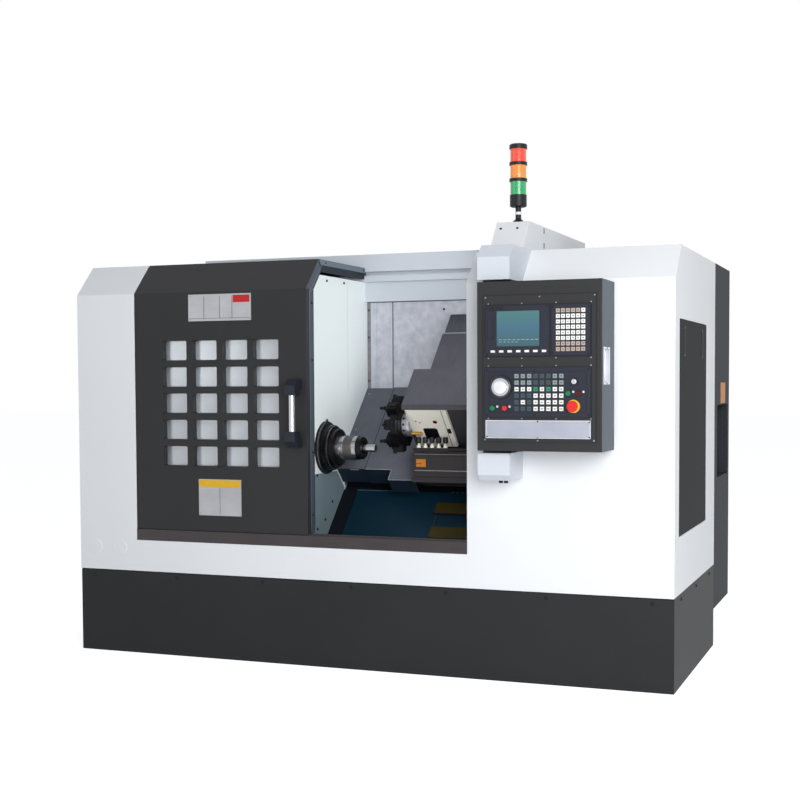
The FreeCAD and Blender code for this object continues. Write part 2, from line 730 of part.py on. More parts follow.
def body_sheet(x0, x1, front, roof, gauge, bottom, rear):
    """A folded sheet that follows the side view of the enclosure."""
    outer = outline_x(x0, x1, body_outline(front, roof, bottom, rear))
    inner = outline_x(
        as_size(x0) - OVERCUT, as_size(x1) + OVERCUT,
        body_outline(front + gauge, roof + gauge, bottom - OVERCUT, rear + OVERCUT))
    return minus(outer, inner)


PAN_HEEL = d.pan_floor - d.pan_n / SLOPE


def chamber_side(front, roof, over_bed):
    """Side view of the work chamber, notched over the bed and cut off along the pan."""
    outline = body_outline(front, roof, d.pan_floor, d.back_wall_front)
    notch_s = d.bed_s_front - d.bed_clearance
    return outline[:4] + [
        (d.back_wall_front, d.back_wall_front + over_bed / SLOPE),
        (slant_y(notch_s, over_bed), slant_z(notch_s, over_bed)),
        (slant_y(notch_s, d.pan_n), slant_z(notch_s, d.pan_n)),
        (PAN_HEEL, d.pan_floor),
    ]


def base_frame():
    shell = block(0, d.overall_width, d.base_setback, d.body_depth, 0, d.base_height)
    groove = block(
        -OVERCUT, d.overall_width + OVERCUT, 0, d.base_setback * 2,
        d.base_height - d.base_setback, d.base_height + OVERCUT)
    return node("base_frame", minus(shell, groove))


def front_cover():
    """Left pillar with its side and roof, and the strip below the door."""
    rear = d.body_depth - d.cover_gauge
    outer = outline_x(0, d.pillar_right, body_outline(0, 0, d.base_height, rear))
    hollow = outline_x(
        d.cover_gauge, d.pillar_right + OVERCUT,
        body_outline(d.cover_gauge, d.cover_gauge, d.base_height - OVERCUT, rear + OVERCUT))
    strip = block(
        d.pillar_right - OVERCUT, d.column_left, 0, d.cover_gauge,
        d.base_height, d.sill_bottom)
    return node("front_cover", union(minus(outer, hollow), strip))


def right_cover():
    """Right column with its front, side, roof and the inner wall of the chamber."""
    rear = d.body_depth - d.cover_gauge
    below = d.base_height - OVERCUT
    outer = outline_x(
        d.column_left, d.overall_width, body_outline(0, 0, d.base_height, rear))
    hollow = outline_x(
        d.column_left + d.cover_gauge, d.overall_width - d.cover_gauge,
        body_outline(d.cover_gauge, d.cover_gauge, below, rear + OVERCUT))
    doorway = outline_x(
        d.column_left - OVERCUT, d.column_left + d.cover_gauge + OVERCUT,
        body_outline(d.door_frame_depth, d.door_roof_depth, below, rear + OVERCUT))
    opening = block(
        d.overall_width - d.cover_gauge - OVERCUT, d.overall_width + OVERCUT,
        d.side_panel_front, d.side_panel_rear, d.side_panel_low, d.side_panel_high)
    inner_wall = outline_x(
        d.chamber_right, d.chamber_right + d.cover_gauge,
        chamber_side(d.cover_gauge / 2, d.cover_gauge / 2, d.screw_n + d.wall_over_screw))
    return node("right_cover", union(minus(outer, hollow, doorway, opening), inner_wall))


def side_panel():
    """Lift-off access panel with two finger slots, hung in the right side."""
    gap = d.panel_gap
    skin = block(
        d.overall_width - d.cover_gauge, d.overall_width,
        d.side_panel_front + gap, d.side_panel_rear - gap,
        d.side_panel_low + gap, d.side_panel_high - gap)
    lip = block(
        d.overall_width - d.cover_gauge * 2, d.overall_width - d.cover_gauge,
        d.side_panel_front - gap * 2, d.side_panel_rear + gap * 2,
        d.side_panel_low - gap * 2, d.side_panel_high + gap * 2)
    slots = []
    for near in (
            d.side_panel_front + d.side_slot_inset,
            d.side_panel_rear - d.side_slot_inset - d.side_slot_width):
        slots.append(block(
            d.overall_width - d.cover_gauge * 3, d.overall_width + OVERCUT,
            near, near + d.side_slot_width, d.side_slot_low, d.side_slot_high))
    return node("side_panel", minus(union(skin, lip), *slots))


def door_sill():
    """Steel sill with the guide rib that the door shoe straddles."""
    bar = block(
        d.pillar_right, d.column_left, 0, d.sill_depth, d.sill_bottom, d.sill_top)
    rib_front = d.door_panel_depth / 2 - d.rail_width / 2
    rib = block(
        d.pillar_right, d.column_left, rib_front, rib_front + d.rail_width,
        d.sill_top - OVERCUT, d.sill_top + d.rail_height)
    return node("door_sill", union(bar, rib))


def top_beam():
    """Box beam over the doorway, slotted for the door, with the lintel behind it."""
    beam = block(
        d.pillar_right, d.column_left, d.beam_front, d.beam_rear, BEAM_BOTTOM, BEAM_TOP)
    slot = block(
        d.pillar_right - OVERCUT, d.column_left + OVERCUT,
        d.beam_front - OVERCUT, d.beam_front + d.beam_slot_depth,
        SLOT_MIDDLE - d.beam_slot_height / 2, SLOT_MIDDLE + d.beam_slot_height / 2)
    lintel = block(
        d.chamber_left, d.column_left, d.lintel_front, d.beam_rear,
        LINTEL_BOTTOM, BEAM_BOTTOM + OVERCUT)
    hollow = block(
        d.chamber_left - OVERCUT, d.column_left + OVERCUT,
        d.back_wall_front, d.beam_rear + OVERCUT,
        LINTEL_BOTTOM - OVERCUT, BEAM_BOTTOM)
    return node("top_beam", union(minus(beam, slot), minus(lintel, hollow)))


def rear_roof_cover():
    """Roof behind the top beam and the rear wall, folded as one."""
    roof = block(
        d.pillar_right, d.column_left, d.beam_rear, d.body_depth,
        d.roof_height - d.cover_gauge, d.roof_height)
    wall = block(
        0, d.overall_width, d.body_depth - d.cover_gauge, d.body_depth,
        d.base_height, d.roof_height)
    return node("rear_roof_cover", union(roof, wall))


def headstock_guard():
    """Fixed panel behind the open door, folded over the headstock."""
    sheet = body_sheet(
        d.cover_gauge, d.chamber_left - d.cover_gauge, d.guard_front, GUARD_ROOF,
        d.cover_gauge, d.base_height, d.beam_front)
    seam = block(
        d.guard_seam, d.guard_seam + d.seam_width,
        d.guard_front - OVERCUT, d.guard_front + d.cover_gauge / 2,
        d.base_height - OVERCUT, EDGE_HEIGHT)
    port_ends = [
        rod_y(
            d.guard_front - OVERCUT, d.guard_front + d.cover_gauge / 2,
            x, d.port_z, d.port_radius)
        for x in (d.port_left, d.port_right)]
    port_middle = block(
        d.port_left, d.port_right, d.guard_front - OVERCUT,
        d.guard_front + d.cover_gauge / 2,
        d.port_z - d.port_radius, d.port_z + d.port_radius)
    return node("headstock_guard", minus(sheet, seam, port_middle, *port_ends))


def chamber_left_wall():
    wall = outline_x(
        d.chamber_left - d.cover_gauge, d.chamber_left,
        chamber_side(
            d.guard_front, d.roof_height - BEAM_BOTTOM,
            d.bed_n + d.way_height + d.bed_clearance))
    hole = rod_x(
        d.chamber_left - d.cover_gauge - OVERCUT, d.chamber_left + OVERCUT,
        AXIS_Y, AXIS_Z, d.nose_ring_radius + d.running_gap)
    return node("chamber_left_wall", minus(wall, hole))


def chamber_back_wall():
    """Rear wall with an upright flange strip and a lapped seam."""
    sheet = block(
        d.chamber_left - d.cover_gauge, d.chamber_right + d.cover_gauge,
        d.back_wall_front, d.back_wall_front + d.cover_gauge,
        d.back_wall_bottom, BEAM_BOTTOM)
    strip = block(
        d.chamber_left, d.chamber_left + d.flange_strip_width,
        d.back_wall_front - d.cover_gauge, d.back_wall_front,
        d.back_wall_bottom, LINTEL_BOTTOM)
    lap = block(
        d.back_seam, d.chamber_right, d.back_wall_front - d.cover_gauge / 2,
        d.back_wall_front, d.back_wall_bottom, LINTEL_BOTTOM)
    return node("chamber_back_wall", union(sheet, strip, lap))


def chip_pan():
    """Folded pan that turns up the slope to the bed, with two bars across its right half."""
    sheet = d.pan_sheet
    pan = outline_x(d.chamber_left, d.chamber_right, [
        (d.sill_depth, d.sill_top - sheet),
        (d.sill_depth, d.pan_floor - sheet),
        (PAN_HEEL + sheet * CORNER_SHARE, d.pan_floor - sheet),
        (slant_y(d.pan_top_s, d.pan_n - sheet), slant_z(d.pan_top_s, d.pan_n - sheet)),
        (slant_y(d.pan_top_s, d.pan_n), slant_z(d.pan_top_s, d.pan_n)),
        (PAN_HEEL, d.pan_floor),
        (d.sill_depth + sheet, d.pan_floor),
        (d.sill_depth + sheet, d.sill_top - sheet),
    ])
    bars = [
        slant_block(
            left, d.tray_bar_right, s, s + d.tray_bar_width, d.pan_n - sheet / 2,
            d.pan_n + d.tray_bar_gauge)
        for left, s in ((d.bar_low_left, d.bar_low_s), (d.bar_high_left, d.bar_high_s))]
    return node("chip_pan", union(pan, *bars))


def electrical_cabinet():
    """Cabinet on the rear with a socket recess, a mounting plate and its modules."""
    gauge = d.cover_gauge
    door_front = REAR_FACE - d.cabinet_skin - d.running_gap
    shell = block(
        CABINET_LEFT, d.overall_width, d.body_depth, door_front,
        d.cabinet_bottom, d.roof_height)
    recess_wall = d.overall_width - d.recess_depth
    hollow = block(
        CABINET_LEFT + gauge, recess_wall - gauge, d.body_depth + gauge,
        door_front + OVERCUT, d.cabinet_bottom + gauge, d.roof_height - gauge)
    recess = block(
        recess_wall, d.overall_width + OVERCUT, d.recess_front, d.recess_rear,
        d.recess_low, d.recess_high)
    plate = block(
        CABINET_LEFT + d.plate_inset, recess_wall - d.plate_inset,
        d.body_depth + gauge - OVERCUT, d.body_depth + gauge * 3,
        d.cabinet_bottom + d.plate_inset, d.roof_height - d.plate_inset)
    modules = []
    for row in range(MODULE_ROWS):
        low = d.cabinet_bottom + d.plate_inset * 2 + d.module_pitch_z * row
        for column in range(MODULE_COLUMNS):
            left = CABINET_LEFT + d.plate_inset * 2 + d.module_pitch_x * column
            modules.append(block(
                left, left + d.module_width, d.body_depth + gauge * 2,
                d.body_depth + gauge * 3 + d.module_depth, low, low + d.module_height))
    sockets = []
    for z in (d.recess_low + d.socket_inset, d.recess_low + d.socket_inset * 2):
        sockets.append(rod_x(
            recess_wall - OVERCUT, recess_wall + d.socket_height,
            d.recess_front + d.socket_inset, z, d.socket_radius))
    return node("electrical_cabinet", union(
        minus(shell, hollow, recess), plate, *modules, *sockets))


MODULE_ROWS = 3
MODULE_COLUMNS = 4


def cabinet_door():
    """Rear door with a shallow pressed field and a round hinge barrel along its edge."""
    barrel = d.cabinet_skin / 2
    skin = block(
        CABINET_LEFT + barrel, d.overall_width, REAR_FACE - d.cabinet_skin, REAR_FACE,
        d.cabinet_bottom, d.roof_height)
    hinge = rod_z(
        d.cabinet_bottom, d.roof_height, CABINET_LEFT + barrel, REAR_FACE - barrel, barrel)
    field = block(
        CABINET_LEFT + d.plate_inset, d.overall_width - d.plate_inset,
        REAR_FACE - d.field_depth, REAR_FACE + OVERCUT,
        d.cabinet_bottom + d.plate_inset, d.roof_height - d.plate_inset)
    return node("cabinet_door", minus(union(skin, hinge), field))


def main_switch():
    """Rotary isolator in the recess, with a grip bar across it."""
    back = d.overall_width - d.recess_depth + d.running_gap
    z = d.switch_z
    y = d.switch_y
    dial = rod_x(back, back + d.switch_base, y, z, d.switch_radius)
    grip = block(
        back + d.switch_base - OVERCUT, back + d.switch_base + d.switch_grip,
        y - d.grip_width / 2, y + d.grip_width / 2,
        z - d.switch_radius, z + d.switch_radius)
    return node("main_switch", union(dial, grip))


def tower_housing():
    """Cable duct over the roof, its front leaning back, notched over the beam's end."""
    duct = outline_x(d.duct_left, d.duct_right, [
        (d.duct_front_low, d.roof_height),
        (d.duct_front_high, DUCT_TOP),
        (REAR_FACE - d.cabinet_skin, DUCT_TOP),
        (REAR_FACE - d.cabinet_skin, d.roof_height),
    ])
    slots = [
        block(
            d.duct_right - d.vent_depth, d.duct_right + OVERCUT, d.vent_y,
            d.vent_y + d.vent_width, low, low + d.vent_height)
        for low in (d.vent_low, d.vent_low + d.vent_pitch)]
    beam_end = block(
        d.duct_left - OVERCUT, d.column_left, d.beam_front, d.beam_rear,
        d.roof_height - OVERCUT, BEAM_TOP)
    return node("tower_housing", minus(duct, beam_end, *slots))


LAMP_X = d.duct_right - d.lamp_inset
LAMP_Y = d.duct_front_high + d.lamp_behind_edge
LAMP_BASE = DUCT_TOP + d.lamp_stem_height
LENS_START = LAMP_BASE + d.lamp_base_height
LENSES = ("green", "amber", "red")


def lamp_body():
    """Flared foot, stem, base module, the two rings between the lenses and the cap."""
    flare = d.lamp_foot_radius - d.lamp_stem_radius
    foot = turned_z(LAMP_X, LAMP_Y, [
        (0, DUCT_TOP),
        (d.lamp_foot_radius, DUCT_TOP),
        (d.lamp_stem_radius, DUCT_TOP + flare),
        (d.lamp_stem_radius, LAMP_BASE),
        (d.lamp_radius * 4 / 5, LAMP_BASE),
        (d.lamp_radius, LAMP_BASE + d.ring_lip * 2),
        (d.lamp_radius, LENS_START),
        (0, LENS_START),
    ])
    parts = [foot]
    for index in range(1, len(LENSES)):
        low = LENS_START + d.lens_pitch * index - (d.lens_pitch - d.lens_height)
        parts.append(rod_z(
            low, LENS_START + d.lens_pitch * index, LAMP_X, LAMP_Y,
            d.lamp_radius + d.ring_lip))
    cap = LENS_START + d.lens_pitch * (len(LENSES) - 1) + d.lens_height
    parts.append(turned_z(LAMP_X, LAMP_Y, [
        (0, cap),
        (d.lamp_radius + d.ring_lip, cap),
        (d.lamp_radius + d.ring_lip, cap + d.lamp_cap_height - d.ring_lip * 2),
        (d.lamp_radius - d.ring_lip, cap + d.lamp_cap_height),
        (0, cap + d.lamp_cap_height),
    ]))
    return node("lamp_body", group(*parts))


def lamp_lenses():
    """Green, amber and red drums, from the bottom up."""
    drums = []
    for index in range(len(LENSES)):
        low = LENS_START + d.lens_pitch * index
        drums.append(rod_z(
            low, low + d.lens_height, LAMP_X, LAMP_Y, d.lamp_radius - d.ring_lip))
    return node("lamp_lenses", group(*drums))


def pivot_brackets():
    """Two white arms that carry the control box on its upright pivot."""
    low_skirt = d.lower_mount_bottom + d.mount_chamfer
    upper = outline_x(d.mount_left, d.mount_right, [
        (d.mount_front, d.upper_mount_bottom),
        (d.mount_front, d.roof_height - d.mount_slope),
        (d.mount_front + d.mount_slope, d.roof_height),
        (d.front_slope_depth, d.roof_height),
        (0, EDGE_HEIGHT),
        (0, d.upper_mount_bottom),
    ])
    lower = outline_x(d.mount_left, d.mount_right, [
        (d.mount_front, low_skirt),
        (d.mount_front, d.lower_mount_top),
        (0, d.lower_mount_top),
        (0, d.lower_mount_bottom),
        (d.mount_front + d.mount_chamfer, d.lower_mount_bottom),
    ])
    glands = [
        rod_z(
            d.lower_mount_bottom - d.gland_length, d.lower_mount_bottom,
            d.mount_right - d.gland_pitch * step, d.mount_front / 2, d.gland_radius)
        for step in (2, 3)]
    return node("pivot_brackets", group(upper, lower, *glands))


# ---------------------------------------------------------------- sliding door
DOOR_LEFT = d.pillar_right + d.door_clearance
DOOR_BOTTOM = d.sill_top + d.door_clearance
WINDOW_COLUMNS = 4
WINDOW_ROWS = 5


def door_frame(x0, x1):
    rear = d.door_roof_rear
    outer = outline_x(x0, x1, body_outline(0, 0, DOOR_BOTTOM, rear))
    inner = outline_x(
        as_size(x0) - OVERCUT, as_size(x1) + OVERCUT,
        body_outline(d.door_frame_depth, d.door_roof_depth, DOOR_BOTTOM - OVERCUT, rear + OVERCUT))
    return minus(outer, inner)


def window_cutter(x, z):
    """A round-cornered hole through the door front."""
    front = -OVERCUT
    rear = d.door_panel_depth + OVERCUT
    corner = d.window_corner
    wide = block(x, x + d.window_width, front, rear, z + corner, z + d.window_height - corner)
    tall = block(x + corner, x + d.window_width - corner, front, rear, z, z + d.window_height)
    corners = [
        rod_y(front, rear, corner_x, corner_z, corner)
        for corner_x in (x + corner, x + d.window_width - corner)
        for corner_z in (z + corner, z + d.window_height - corner)]
    return union(wide, tall, *corners)


def door_panel():
    return block(DOOR_LEFT, d.door_right, 0, d.door_panel_depth, DOOR_BOTTOM, EDGE_HEIGHT)


def door_roof():
    """Sloped and flat roof sheet with its rear flange and the guide tongue."""
    sheet = d.cover_gauge
    tongue_half = d.beam_slot_height / 2 - d.door_clearance
    skin = body_sheet(
        DOOR_LEFT, d.door_right, as_size(0), as_size(0), sheet,
        EDGE_HEIGHT - sheet, d.door_roof_rear)
    flange = block(
        DOOR_LEFT, d.door_right, d.door_roof_rear - sheet, d.door_roof_rear,
        SLOT_MIDDLE - tongue_half, d.roof_height)
    tongue = block(
        DOOR_LEFT, d.door_right, d.door_roof_rear - sheet,
        d.door_roof_rear + d.door_tongue_reach,
        SLOT_MIDDLE - tongue_half, SLOT_MIDDLE + tongue_half)
    return union(skin, flange, tongue)


def door_shell():
    """Front with twenty windows, roof with the guide tongue and the two side frames."""
    windows = []
    for column in range(WINDOW_COLUMNS):
        for row in range(WINDOW_ROWS):
            windows.append(window_cutter(
                d.window_left + d.window_pitch_x * column,
                d.window_bottom + d.window_pitch_z * row))
    rib_room = d.rail_width + d.running_gap * 2
    rib_front = d.door_panel_depth / 2 - rib_room / 2
    shoe = block(
        DOOR_LEFT - OVERCUT, d.door_right + OVERCUT, rib_front, rib_front + rib_room,
        DOOR_BOTTOM - OVERCUT, d.sill_top + d.rail_height + d.running_gap)
    frames = [
        minus(door_frame(left, left + d.door_frame_width), door_panel(), door_roof())
        for left in (as_size(DOOR_LEFT), d.door_right - d.door_frame_width)]
    return node("door_shell", group(
        minus(door_panel(), shoe, *windows), minus(door_roof(), door_panel()), *frames))


def window_pane():
    """One clear sheet behind all the windows."""
    right = (
        d.window_left + d.window_pitch_x * (WINDOW_COLUMNS - 1)
        + d.window_width + d.pane_margin)
    top = (
        d.window_bottom + d.window_pitch_z * (WINDOW_ROWS - 1)
        + d.window_height + d.pane_margin)
    return node("window_pane", block(
        d.window_left - d.pane_margin, right,
        d.door_panel_depth, d.door_panel_depth + d.pane_gauge,
        d.window_bottom - d.pane_margin, top))


HANDLE_X = d.door_right - d.handle_inset


def handle_bar():
    return node("handle_bar", rod_z(
        d.handle_low + d.bracket_height / 2, d.handle_high - d.bracket_height / 2,
        HANDLE_X, -d.handle_stand, d.handle_radius))


def bracket(end, inward, seat_low, seat_high):
    """One bracket, from its outer end towards the middle of the bar."""
    half = d.bracket_width / 2
    cup = end + inward * d.bracket_height
    body = outline_x(HANDLE_X - half, HANDLE_X + half, [
        (0, end),
        (-d.bracket_crown, end),
        (-d.bracket_nose, end + inward * d.bracket_bevel),
        (-d.bracket_nose, cup),
        (-d.bracket_back, cup),
        (-d.bracket_back, cup - inward * d.bracket_notch),
        (0, end + inward * d.bracket_foot),
    ])
    seat = rod_z(seat_low, seat_high, HANDLE_X, -d.handle_stand, d.handle_radius)
    return minus(body, seat)


def handle_brackets():
    """Two cupped ends that hold the bar off the door."""
    seat = d.bracket_height / 2
    lower = bracket(d.handle_low, 1, d.handle_low + seat, d.handle_low + d.bracket_height)
    upper = bracket(d.handle_high, -1, d.handle_high - d.bracket_height, d.handle_high - seat)
    return node("handle_brackets", group(lower, upper))


# ---------------------------------------------------------------- spindle and drive
HEADSTOCK_RIGHT = d.chamber_left - d.cover_gauge * 2
BORE_CLEAR = d.shaft_radius + d.running_gap


def headstock_casting():
    """Round housing on a foot that stands on the sloping bed, bored for the bearings."""
    barrel = rod_x(d.headstock_left, HEADSTOCK_RIGHT, AXIS_Y, AXIS_Z, d.headstock_radius)
    foot = slant_outline(d.headstock_left, HEADSTOCK_RIGHT, [
        (d.headstock_heel, d.bed_n),
        (d.axis_s - d.headstock_radius, d.axis_n),
        (d.axis_s + d.headstock_radius, d.axis_n),
        (d.headstock_toe, d.bed_n),
    ])
    front_rib = rod_x(
        HEADSTOCK_RIGHT - d.bearing_width, HEADSTOCK_RIGHT, AXIS_Y, AXIS_Z,
        d.headstock_radius + d.cover_gauge)
    bore = rod_x(
        d.headstock_left - OVERCUT, HEADSTOCK_RIGHT + OVERCUT, AXIS_Y, AXIS_Z,
        d.bearing_outer)
    return node("headstock_casting", minus(union(barrel, foot, front_rib), bore))


def spindle_bearings():
    """Front and rear bearing rings, seated in the headstock bore."""
    rings = []
    for left in (
            d.headstock_left + d.bearing_inset,
            HEADSTOCK_RIGHT - d.bearing_inset - d.bearing_width):
        outer = rod_x(left, left + d.bearing_width, AXIS_Y, AXIS_Z, d.bearing_outer)
        inner = rod_x(
            left - OVERCUT, left + d.bearing_width + OVERCUT, AXIS_Y, AXIS_Z, BORE_CLEAR)
        rings.append(minus(outer, inner))
    return node("spindle_bearings", group(*rings))


def spindle_cover_ring():
    """Black cover ring on the headstock nose, with its small clamp pin on top."""
    ring = turned_x(AXIS_Y, AXIS_Z, [
        (HEADSTOCK_RIGHT, d.ring_bore),
        (HEADSTOCK_RIGHT, d.nose_ring_radius),
        (d.nose_ring_right - d.ring_bevel, d.nose_ring_radius),
        (d.nose_ring_right, d.nose_ring_radius - d.ring_bevel),
        (d.nose_ring_right, d.ring_bore),
    ])
    pin = rod_z(
        AXIS_Z + d.nose_ring_radius - d.ring_bevel * 2,
        AXIS_Z + d.nose_ring_radius + d.ring_pin_height,
        d.nose_ring_right - d.ring_bevel, AXIS_Y, d.ring_bevel)
    return node("spindle_cover_ring", union(ring, pin))


def spindle_shaft():
    """Bored shaft with a shoulder behind the front bearing and a short nose."""
    front = d.nose_ring_right + d.running_gap
    return node("spindle_shaft", turned_x(AXIS_Y, AXIS_Z, [
        (d.shaft_left, d.shaft_bore),
        (d.shaft_left, d.shaft_radius - d.shaft_step),
        (d.pulley_left, d.shaft_radius - d.shaft_step),
        (d.pulley_left, d.shaft_radius),
        (front, d.shaft_radius),
        (front, d.shaft_bore),
    ]))


def chuck_adaptor():
    left = d.nose_ring_right + d.running_gap
    return node("chuck_adaptor", turned_x(AXIS_Y, AXIS_Z, [
        (left, d.shaft_bore),
        (left, d.adaptor_radius),
        (d.adaptor_right - d.ring_bevel, d.adaptor_radius),
        (d.adaptor_right, d.adaptor_radius - d.ring_bevel),
        (d.adaptor_right, d.shaft_bore),
    ]))


def collet_chuck():
    """Stepped collet chuck with its knurled band, tommy holes and nose cap."""
    band_left = d.collar_right + (d.chuck_right - d.collar_right) / 3
    band_right = d.chuck_right - (d.chuck_right - d.collar_right) / 5
    body = turned_x(AXIS_Y, AXIS_Z, [
        (d.adaptor_right, d.bar_radius),
        (d.adaptor_right, d.collar_radius),
        (d.collar_right - d.ring_bevel, d.collar_radius),
        (d.collar_right, d.collar_small),
        (d.collar_right, d.chuck_radius),
        (band_left, d.chuck_radius),
        (band_left, d.chuck_radius + d.knurl_height),
        (band_right, d.chuck_radius + d.knurl_height),
        (band_right, d.chuck_radius),
        (d.chuck_right, d.chuck_radius),
        (d.chuck_right, d.cap_radius),
        (d.cap_right - d.ring_bevel, d.cap_radius),
        (d.cap_right, d.cap_radius - d.ring_bevel),
        (d.cap_right, d.cap_mouth),
        (d.chuck_right, d.bar_radius),
    ])
    holes = []
    for index in range(TOMMY_HOLES):
        turn = 2 * HALF_TURN * index / TOMMY_HOLES
        holes.append(spoke_block(
            d.collar_right + d.tommy_side, d.collar_right + d.tommy_side * 2,
            AXIS_Y, AXIS_Z, d.tommy_side / 2,
            d.chuck_radius - d.tommy_side, d.chuck_radius + d.tommy_side, turn))
    return node("collet_chuck", minus(body, *holes))


TOMMY_HOLES = 4


def bar_stock():
    return node("bar_stock", rod_x(
        d.shaft_left - d.bar_overhang, d.bar_right, AXIS_Y, AXIS_Z, d.bar_radius))


def flat_pulley(left, width, radius, bore, y, z):
    """A belt pulley with a flange at each side."""
    flange = d.pulley_flange
    return turned_x(y, z, [
        (left - flange, bore),
        (left - flange, radius + flange),
        (left, radius + flange),
        (left, radius),
        (left + width, radius),
        (left + width, radius + flange),
        (left + width + flange, radius + flange),
        (left + width + flange, bore),
    ])


def spindle_pulley():
    return node("spindle_pulley", flat_pulley(
        d.pulley_left, d.pulley_width, d.spindle_pulley_radius, d.shaft_radius,
        AXIS_Y, AXIS_Z))


def motor_pulley():
    """Motor pulley in one with the stub of the motor shaft."""
    pulley = flat_pulley(
        d.pulley_left, d.pulley_width, d.motor_pulley_radius, d.motor_shaft_radius,
        d.motor_y, d.motor_z)
    shaft = rod_x(
        d.motor_right - d.motor_shaft_depth, d.pulley_left + d.pulley_width,
        d.motor_y, d.motor_z, d.motor_shaft_radius)
    return node("motor_pulley", union(pulley, shaft))


def spindle_motor():
    """Motor with cooling ribs on a foot that stands on the base."""
    parts = [rod_x(d.motor_left, d.motor_right, d.motor_y, d.motor_z, d.motor_radius)]
    rib_pitch = (d.motor_right - d.motor_left) / MOTOR_RIBS
    for index in range(MOTOR_RIBS):
        left = d.motor_left + rib_pitch * index + rib_pitch / 4
        parts.append(rod_x(
            left, left + rib_pitch / 2, d.motor_y, d.motor_z,
            d.motor_radius + d.cover_gauge * 2))
    parts.append(block(
        d.motor_left, d.motor_right, d.motor_y - d.motor_foot / 2,
        d.motor_y + d.motor_foot / 2, d.base_height, d.motor_z - d.motor_radius / 2))
    socket = rod_x(
        d.motor_right - d.motor_shaft_depth - d.running_gap, d.motor_right + OVERCUT,
        d.motor_y, d.motor_z, d.motor_shaft_radius + d.running_gap)
    return node("spindle_motor", minus(union(*parts), socket))


MOTOR_RIBS = 6


def belt_loop(y0, z0, radius0, y1, z1, radius1):
    """Face bounded by two arcs and the two straight runs that touch them both."""
    span = FreeCAD.Vector(0, y1 - y0, z1 - z0)
    heading = math.atan2(span.z, span.y)
    lean = math.acos((radius0 - radius1) / span.Length)

    def rim(y, z, radius, angle):
        return FreeCAD.Vector(0, y + radius * math.cos(angle), z + radius * math.sin(angle))

    high = heading + lean
    low = heading - lean
    start_high = rim(y0, z0, radius0, high)
    start_low = rim(y0, z0, radius0, low)
    end_high = rim(y1, z1, radius1, high)
    end_low = rim(y1, z1, radius1, low)
    back = rim(y0, z0, radius0, heading + math.pi)
    front = rim(y1, z1, radius1, heading)
    edges = [
        Part.Arc(start_high, back, start_low).toShape(),
        Part.makeLine(start_low, end_low),
        Part.Arc(end_low, front, end_high).toShape(),
        Part.makeLine(end_high, start_high),
    ]
    return Part.Face(Part.Wire(edges))


def drive_belt():
    """Flat belt round both pulleys, a hair off their rims."""
    inner_gap = d.running_gap.value
    outer_gap = inner_gap + d.belt_gauge.value
    circles = (AXIS_Y.value, AXIS_Z.value, d.motor_y.value, d.motor_z.value)
    faces = []
    for gap in (outer_gap, inner_gap):
        faces.append(belt_loop(
            circles[0], circles[1], d.spindle_pulley_radius.value + gap,
            circles[2], circles[3], d.motor_pulley_radius.value + gap))
    side_gap = d.running_gap.value
    width = FreeCAD.Vector(d.pulley_width.value - 2 * side_gap, 0, 0)
    belt = document.addObject("Part::Feature", "belt")
    belt.Shape = faces[0].cut(faces[1]).extrude(width)
    return node("drive_belt", locate(belt, d.pulley_left + d.running_gap, 0, 0))


# ---------------------------------------------------------------- bed and feed
BED_RIGHT = d.overall_width - d.bed_margin
SCREW_RIGHT = BED_RIGHT - d.screw_margin
SCREW_Y = slant_y(d.screw_s, d.screw_n)
SCREW_Z = slant_z(d.screw_s, d.screw_n)
WAY_TOP = d.bed_n + d.way_height


def bed_casting():
    """Slanted casting with two box ways and the bearing post of the feed screw."""
    body = outline_x(d.bed_left, BED_RIGHT, [
        (d.bed_front, d.base_height),
        (d.bed_front, d.bed_shoulder),
        (slant_y(d.bed_s_front, d.bed_n), slant_z(d.bed_s_front, d.bed_n)),
        (slant_y(d.bed_s_rear, d.bed_n), slant_z(d.bed_s_rear, d.bed_n)),
        (d.bed_rear, slant_z(d.bed_s_rear, d.bed_n)),
        (d.bed_rear, d.base_height),
    ])
    ways = [
        slant_block(
            d.way_left, BED_RIGHT, s, s + d.way_width, d.bed_n - OVERCUT, WAY_TOP)
        for s in (d.front_way_s, d.rear_way_s)]
    post_half = d.screw_post_width / 2
    post = slant_block(
        d.way_left, d.way_left + d.screw_post_length, d.screw_s - post_half,
        d.screw_s + post_half, d.bed_n - OVERCUT, d.screw_n + post_half)
    seat = rod_x(
        d.way_left - OVERCUT, d.way_left + d.screw_post_length + OVERCUT,
        SCREW_Y, SCREW_Z, d.screw_radius + d.running_gap)
    return node("bed_casting", union(body, *ways, minus(post, seat)))


def z_screw():
    return node("z_screw", rod_x(
        d.way_left, SCREW_RIGHT, SCREW_Y, SCREW_Z, d.screw_radius))


def z_servo_motor():
    """Bearing housing and square motor at the right end of the feed screw."""
    half = d.servo_side / 2
    housing = slant_block(
        SCREW_RIGHT - d.screw_post_length, SCREW_RIGHT + d.servo_length,
        d.screw_s - half, d.screw_s + half, d.bed_n, d.screw_n + half)
    seat = rod_x(
        SCREW_RIGHT - d.screw_post_length - OVERCUT, SCREW_RIGHT + d.running_gap,
        SCREW_Y, SCREW_Z, d.screw_radius + d.running_gap)
    flange = slant_block(
        SCREW_RIGHT, SCREW_RIGHT + d.screw_post_length,
        d.screw_s - half - d.cover_gauge, d.screw_s + half + d.cover_gauge,
        d.bed_n, d.screw_n + half + d.cover_gauge)
    return node("z_servo_motor", minus(union(housing, flange), seat))


